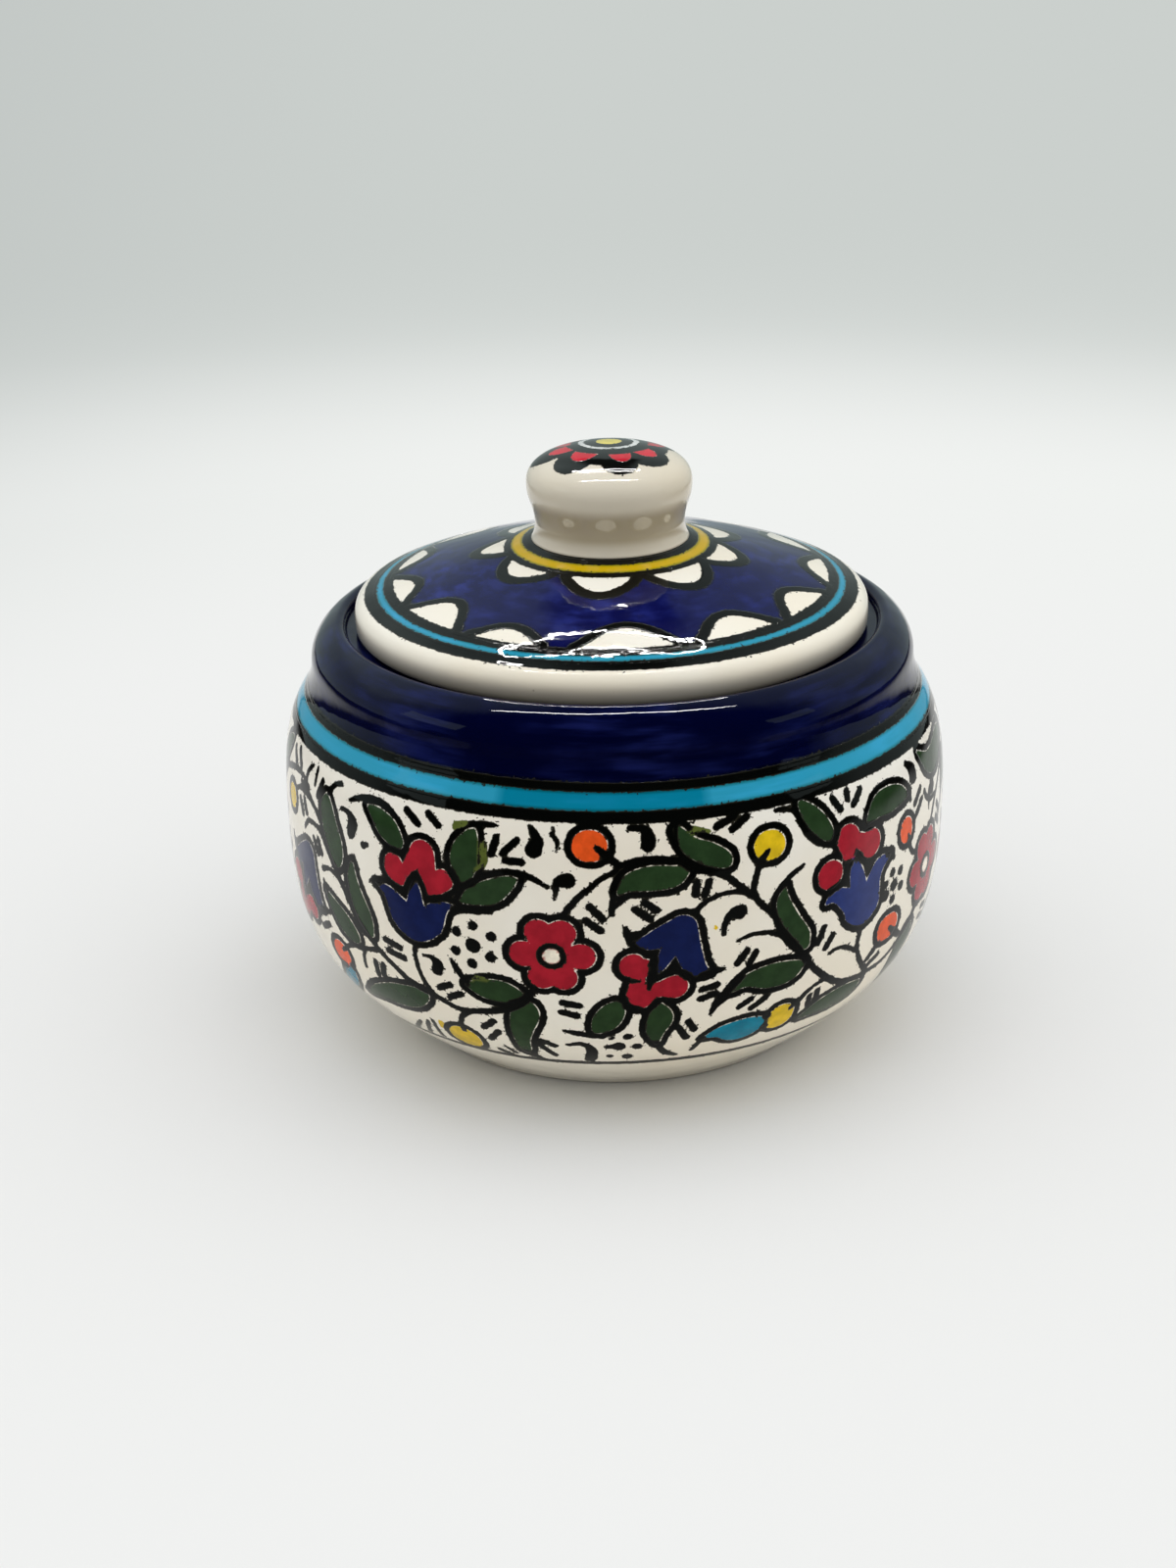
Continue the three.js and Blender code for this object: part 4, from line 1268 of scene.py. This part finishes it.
# Painted shade: the ground of the lid's rolled rim darkens towards its underside
lid_glaze = glazed(
    "lid_glaze", ground=(242, 239, 227), line_height=0.12, ior=1.3, streaked=(6.0, 300.0, 1.0),
    shade_pool=(RIM_UNDERSIDE + 4.6, RIM_UNDERSIDE + 0.6, 0, (0.3, 0.29, 0.28, 1)),
)
# The knob's ground darkens low on its waist and is light again on the flared foot: painted shade, with thick
# glaze lying there as a second coat
knob_glaze = glazed(
    "knob_glaze", ground=(224, 218, 202), line_height=0.05, ior=1.45, peel=0.05, coated=True,
    shade_pool=(CROWN_HEIGHT + 9, CROWN_HEIGHT + 6.5, CROWN_HEIGHT + 1.4, (0.74, 0.7, 0.61, 1)),
)

for piece, glaze, body, node, finish in (
    (jar, jar_glaze, "jar", "jar_body", "painted_glaze"),
    (lid, lid_glaze, "lid", "lid", "painted_glaze"),
    (knob, knob_glaze, "lid", "knob", "white_glaze"),
):
    piece.data.materials.append(glaze)
    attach(piece, body)
    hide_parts(node)


# Studio: a floor that is lit, a wall that only the camera sees, a world that only lights, and the camera of
# the photograph

FLOOR_REACH = 0.56
WALL_BEND = 0.16
WALL_TOP = 1.6
STAGE_COLUMNS = 128
FLOOR_RINGS, BEND_RINGS, WALL_RINGS = 12, 24, 6
LIT_PAPER, SEEN_PAPER = (242, 236, 224), (227, 228, 227)
NEAR_GLOW, FAR_GLOW, LEFT_GLOW = (240, 242, 240), (203, 208, 205), (176, 181, 180)
GLOW_START, GLOW_DIMS = (0.16, 0.36), (0.36, 0.66)  # from the jar outwards, for the camera
LEFT_DIMS, LEFT_SHARE = (0.0, -0.6), 0.75
NEAR_FRONT, TABLE_FRONT, TABLE_SIDE = (0.03, 0.07), (0.14, 0.2), (0.2, 0.32)  # where reflections dim
NEAR_DIMMING, DARK_LEVEL = 0.82, 0.03

# The light of the world by direction: the least, what it gains from above and from both sides, and what the
# right has over the left. Then the room that reflections see: its least light and the light of its back wall,
# high up and lower down, the dark gap in that, and windows, as (direction, half width, half height, soft edge).
LEAST_LIGHT, LIGHT_ABOVE, LIGHT_ASIDE, LIGHT_RIGHT = 0.02, 2.3, 0.8, 0.1
LEAST_ROOM, HIGH_ROOM, LOW_ROOM = 0.015, 0.22, 0.42
WALL_CURVE, WALL_START, WALL_RISE = 0.3, (-0.05, 0.35), (0.95, 0.6)
ROOM_TINT = (0.84, 1.0, 0.98, 1)
DARK_GAP = ((0.0, 0.55, 0.83), 0.1, 0.4, 0.07)
GAP_DEPTH = -0.92
WINDOWS = [  # and the light of each
    (((-0.5, 0.45, 0.75), 0.3, 0.25, 0.3), 0.3),
    (((0.55, 0.4, 0.7), 0.25, 0.25, 0.3), 0.2),
    (((-0.86, -0.27, 0.35), 0.2, 0.13, 0.02), 0.7),
    (((0.86, -0.3, 0.33), 0.14, 0.1, 0.02), 0.6),
]
LEAST_AHEAD = 0.02
SEEN_WORLD = (222, 226, 226)
LAMP_POINTS = 96
LAMP_EDGE, MIDDLE_LEVEL = (1, 0.985, 0.96, 1), 0.02

# The camera's place in millimetres, its right and up directions, its lens and the long side of its frame
CAMERA_PLACE = (0, -433.645, 221.878)
CAMERA_RIGHT = (0.99981178, 0.00317006, -0.01914047)
CAMERA_UP = (0.01644882, 0.38464619, 0.92291752)
LENS, LONG_SIDE = 58.5, 36


def paper():
    """Pale paper. Its lit colour carries the shadow near the jar; farther out, for the camera, it glows, with
    painted shade that dims it farther out and towards the left.
    Reflections see it dim close in front of the jar, and darkest past the front edge and sides of a table."""
    material = bpy.data.materials.new("paper")
    tree = emptied(material)
    place = tree.add("SeparateXYZ", {0: tree.place()}).outputs
    radius = tree.from_axis(place)
    path = tree.add("LightPath").outputs
    mirrored = tree.larger(path["Is Glossy Ray"], path["Is Transmission Ray"])
    looked_at = tree.larger(path["Is Camera Ray"], mirrored)
    pale = tree.mix(looked_at, colour(LIT_PAPER), colour(SEEN_PAPER))
    lit = tree.add("BsdfDiffuse", {"Color": pale}).outputs[0]
    # Painted shade on the glowing backdrop: dimmer farther from the jar and towards the left
    far = tree.mix(tree.fade(radius, *GLOW_DIMS), colour(NEAR_GLOW), colour(FAR_GLOW))
    far = tree.mix(tree.fade(place["X"], *LEFT_DIMS, 0.0, LEFT_SHARE), far, colour(LEFT_GLOW))
    glow = tree.add("Emission", {"Color": far, "Strength": 1.0}).outputs[0]
    share = tree.times(tree.fade(radius, *GLOW_START), looked_at)
    surface = tree.add("MixShader", {0: share, 1: lit, 2: glow}).outputs[0]
    front = tree.times(place["Y"], -1.0)
    dimmed = tree.larger(tree.fade(front, *TABLE_FRONT), tree.fade(front, *NEAR_FRONT, 0.0, NEAR_DIMMING))
    dimmed = tree.larger(dimmed, tree.fade(tree.math("ABSOLUTE", place["X"]), *TABLE_SIDE))
    dimmed = tree.times(dimmed, path["Is Glossy Ray"])
    dim = tree.add("Emission", {"Color": WHITE, "Strength": DARK_LEVEL}).outputs[0]
    surface = tree.add("MixShader", {0: dimmed, 1: surface, 2: dim}).outputs[0]
    tree.add("OutputMaterial", {"Surface": surface})
    return material


def stage_piece(name, radius, height, material):
    """A surface turned about the z axis from a profile of radius and height in metres, facing inwards."""
    columns = np.where(radius > 0, STAGE_COLUMNS, 1)
    ring, step = ring_steps(columns)
    points = turned(2 * math.pi * step / STAGE_COLUMNS, radius[ring], height[ring])
    piece = new_piece(name, points, [face[::-1] for face in ring_faces(columns)])
    piece.data.materials.append(material)
    return piece


def backdrop():
    """A flat floor out to its reach, and round it a wall: a quarter circle up, then straight to the top. The
    wall lets the world's light through, and reflections see the world in its place."""
    material = paper()
    floor_radius = np.r_[0, np.linspace(0.05, FLOOR_REACH, FLOOR_RINGS)]
    stage_piece("floor", floor_radius, np.zeros(FLOOR_RINGS + 1), material)
    bend = np.linspace(0, math.pi / 2, BEND_RINGS)
    radius = np.r_[FLOOR_REACH + WALL_BEND * np.sin(bend), np.full(WALL_RINGS, FLOOR_REACH + WALL_BEND)]
    height = np.r_[WALL_BEND * (1 - np.cos(bend)), np.linspace(WALL_BEND, WALL_TOP, WALL_RINGS + 1)[1:]]
    wall = stage_piece("wall", radius, height, material)
    wall.visible_diffuse = wall.visible_glossy = wall.visible_transmission = wall.visible_shadow = False


backdrop()

scene = bpy.context.scene
scene.view_settings.view_transform = "Standard"


def soft_window(tree, direction, towards, half_width, half_height, soft):
    """A lit rectangle as seen from the jar, facing it: 1 inside and 0 outside, with a soft edge. Its sides are
    tangents measured from the direction towards its middle."""
    middle = Vector(towards).normalized()
    side = middle.cross(Vector((0, 0, 1))).normalized()
    upright = side.cross(middle)
    ahead, beside, above = (
        tree.add("VectorMath", {0: direction, 1: tuple(axis)}, operation="DOT_PRODUCT").outputs["Value"]
        for axis in (middle, side, upright)
    )
    depth = tree.larger(ahead, LEAST_AHEAD)
    across = tree.math("ABSOLUTE", tree.math("DIVIDE", beside, depth))
    up = tree.math("ABSOLUTE", tree.math("DIVIDE", above, depth))
    within = tree.fade(across, half_width + soft, half_width)
    mask = tree.times(within, tree.fade(up, half_height + soft, half_height))
    return tree.times(mask, tree.math("GREATER_THAN", ahead, LEAST_AHEAD))


def studio_world():
    """Diffuse light is strongest from above, then from both sides. Reflections see a dim room in front, a pale
    wall behind with a dark gap in its middle, and windows at the sides."""
    scene.world = bpy.data.worlds.new("studio")
    tree = emptied(scene.world)
    direction = tree.add("TexCoord").outputs["Generated"]
    axes = tree.add("SeparateXYZ", {0: direction}).outputs
    above = tree.larger(axes["Z"], 0.0)
    sky = tree.times_plus(tree.math("POWER", above, 3.0), LIGHT_ABOVE, LEAST_LIGHT)
    sky = tree.times_plus(tree.math("POWER", axes["X"], 2.0), LIGHT_ASIDE, sky)
    sky = tree.larger(tree.times_plus(axes["X"], LIGHT_RIGHT, sky), 0.0)
    aside = tree.times_plus(tree.math("ABSOLUTE", axes["X"]), WALL_CURVE, axes["Y"])
    wall = tree.fade(axes["Z"], *WALL_RISE, HIGH_ROOM, LOW_ROOM)
    room = tree.times_plus(tree.fade(aside, *WALL_START), wall, LEAST_ROOM)
    dark = soft_window(tree, direction, *DARK_GAP)
    room = tree.times(room, tree.times_plus(dark, GAP_DEPTH, 1.0))
    for window, level in WINDOWS:
        room = tree.times_plus(soft_window(tree, direction, *window), level, room)
    path = tree.add("LightPath").outputs
    room = tree.mix(1.0, room, ROOM_TINT, "MULTIPLY")
    seen = tree.mix(path["Is Glossy Ray"], sky, room)
    seen = tree.mix(path["Is Camera Ray"], seen, colour(SEEN_WORLD))
    light = tree.add("Background", {"Color": seen, "Strength": 1.0}).outputs[0]
    tree.add("OutputWorld", {"Surface": light})


def lamp_frame(lamp_name, centre, aim, half_width, half_height, bar, strength):
    """An oblong lamp whose edge glows and whose middle is dark: two rows of points about its centre, each (half
    width times the signed square root of cos, half height times that of sin), square to the line to its aim."""
    angle = np.linspace(0, 2 * math.pi, LAMP_POINTS, endpoint=False)
    oblong = [np.sign(part) * np.sqrt(np.abs(part)) for part in (np.cos(angle), np.sin(angle))]
    turn = np.array((Vector(aim) - Vector(centre)).to_track_quat("-Z", "Y").to_matrix())
    rows = [
        np.column_stack([(half_width - inset) * oblong[0], (half_height - inset) * oblong[1], 0 * angle])
        for inset in (0, bar)
    ]
    points = np.vstack([*rows, np.zeros((1, 3))]) @ turn.T + np.array(centre)
    step = np.arange(LAMP_POINTS)
    after = (step + 1) % LAMP_POINTS
    inner, inner_after = step + LAMP_POINTS, after + LAMP_POINTS
    edge = np.column_stack([step, inner, inner_after, after]).tolist()
    middle = np.column_stack([inner, np.full(LAMP_POINTS, 2 * LAMP_POINTS), inner_after]).tolist()
    lamp = new_piece(lamp_name, points, edge + middle)
    lamp.data.polygons.foreach_set("material_index", np.repeat([0, 1], LAMP_POINTS))
    for name, tint, level in (("lamp_edge", LAMP_EDGE, strength), ("lamp_middle", WHITE, MIDDLE_LEVEL)):
        material = bpy.data.materials.new(name)
        tree = emptied(material)
        glow = tree.add("Emission", {"Color": tint, "Strength": level}).outputs[0]
        tree.add("OutputMaterial", {"Surface": glow})
        lamp.data.materials.append(material)
    lamp.visible_camera = lamp.visible_diffuse = lamp.visible_shadow = False


studio_world()
lamp_frame("lamp_behind", centre=(-0.012, 0.2507, 0.486), aim=(-0.005, 0, 0.085),
           half_width=0.125, half_height=0.025, bar=0.003, strength=200)
lamp_frame("lamp_above", centre=(0, -0.01, 0.62), aim=(0, 0, 0.075),
           half_width=0.27, half_height=0.007, bar=0.0069, strength=90)


def photo_camera():
    """The photograph's camera, turned so that its own x and y axes are its right and up directions."""
    view = bpy.data.cameras.new("camera")
    view.lens, view.sensor_width, view.sensor_fit = LENS, LONG_SIDE, "AUTO"
    view.clip_start, view.clip_end = 0.01, 20
    holder = bpy.data.objects.new("camera", view)
    scene.collection.objects.link(holder)
    right, up = Vector(CAMERA_RIGHT).normalized(), Vector(CAMERA_UP).normalized()
    turn = Matrix((right, up, right.cross(up))).transposed()
    holder.matrix_world = Matrix.Translation(Vector(CAMERA_PLACE) * MM) @ turn.to_4x4()
    scene.camera = holder


photo_camera()
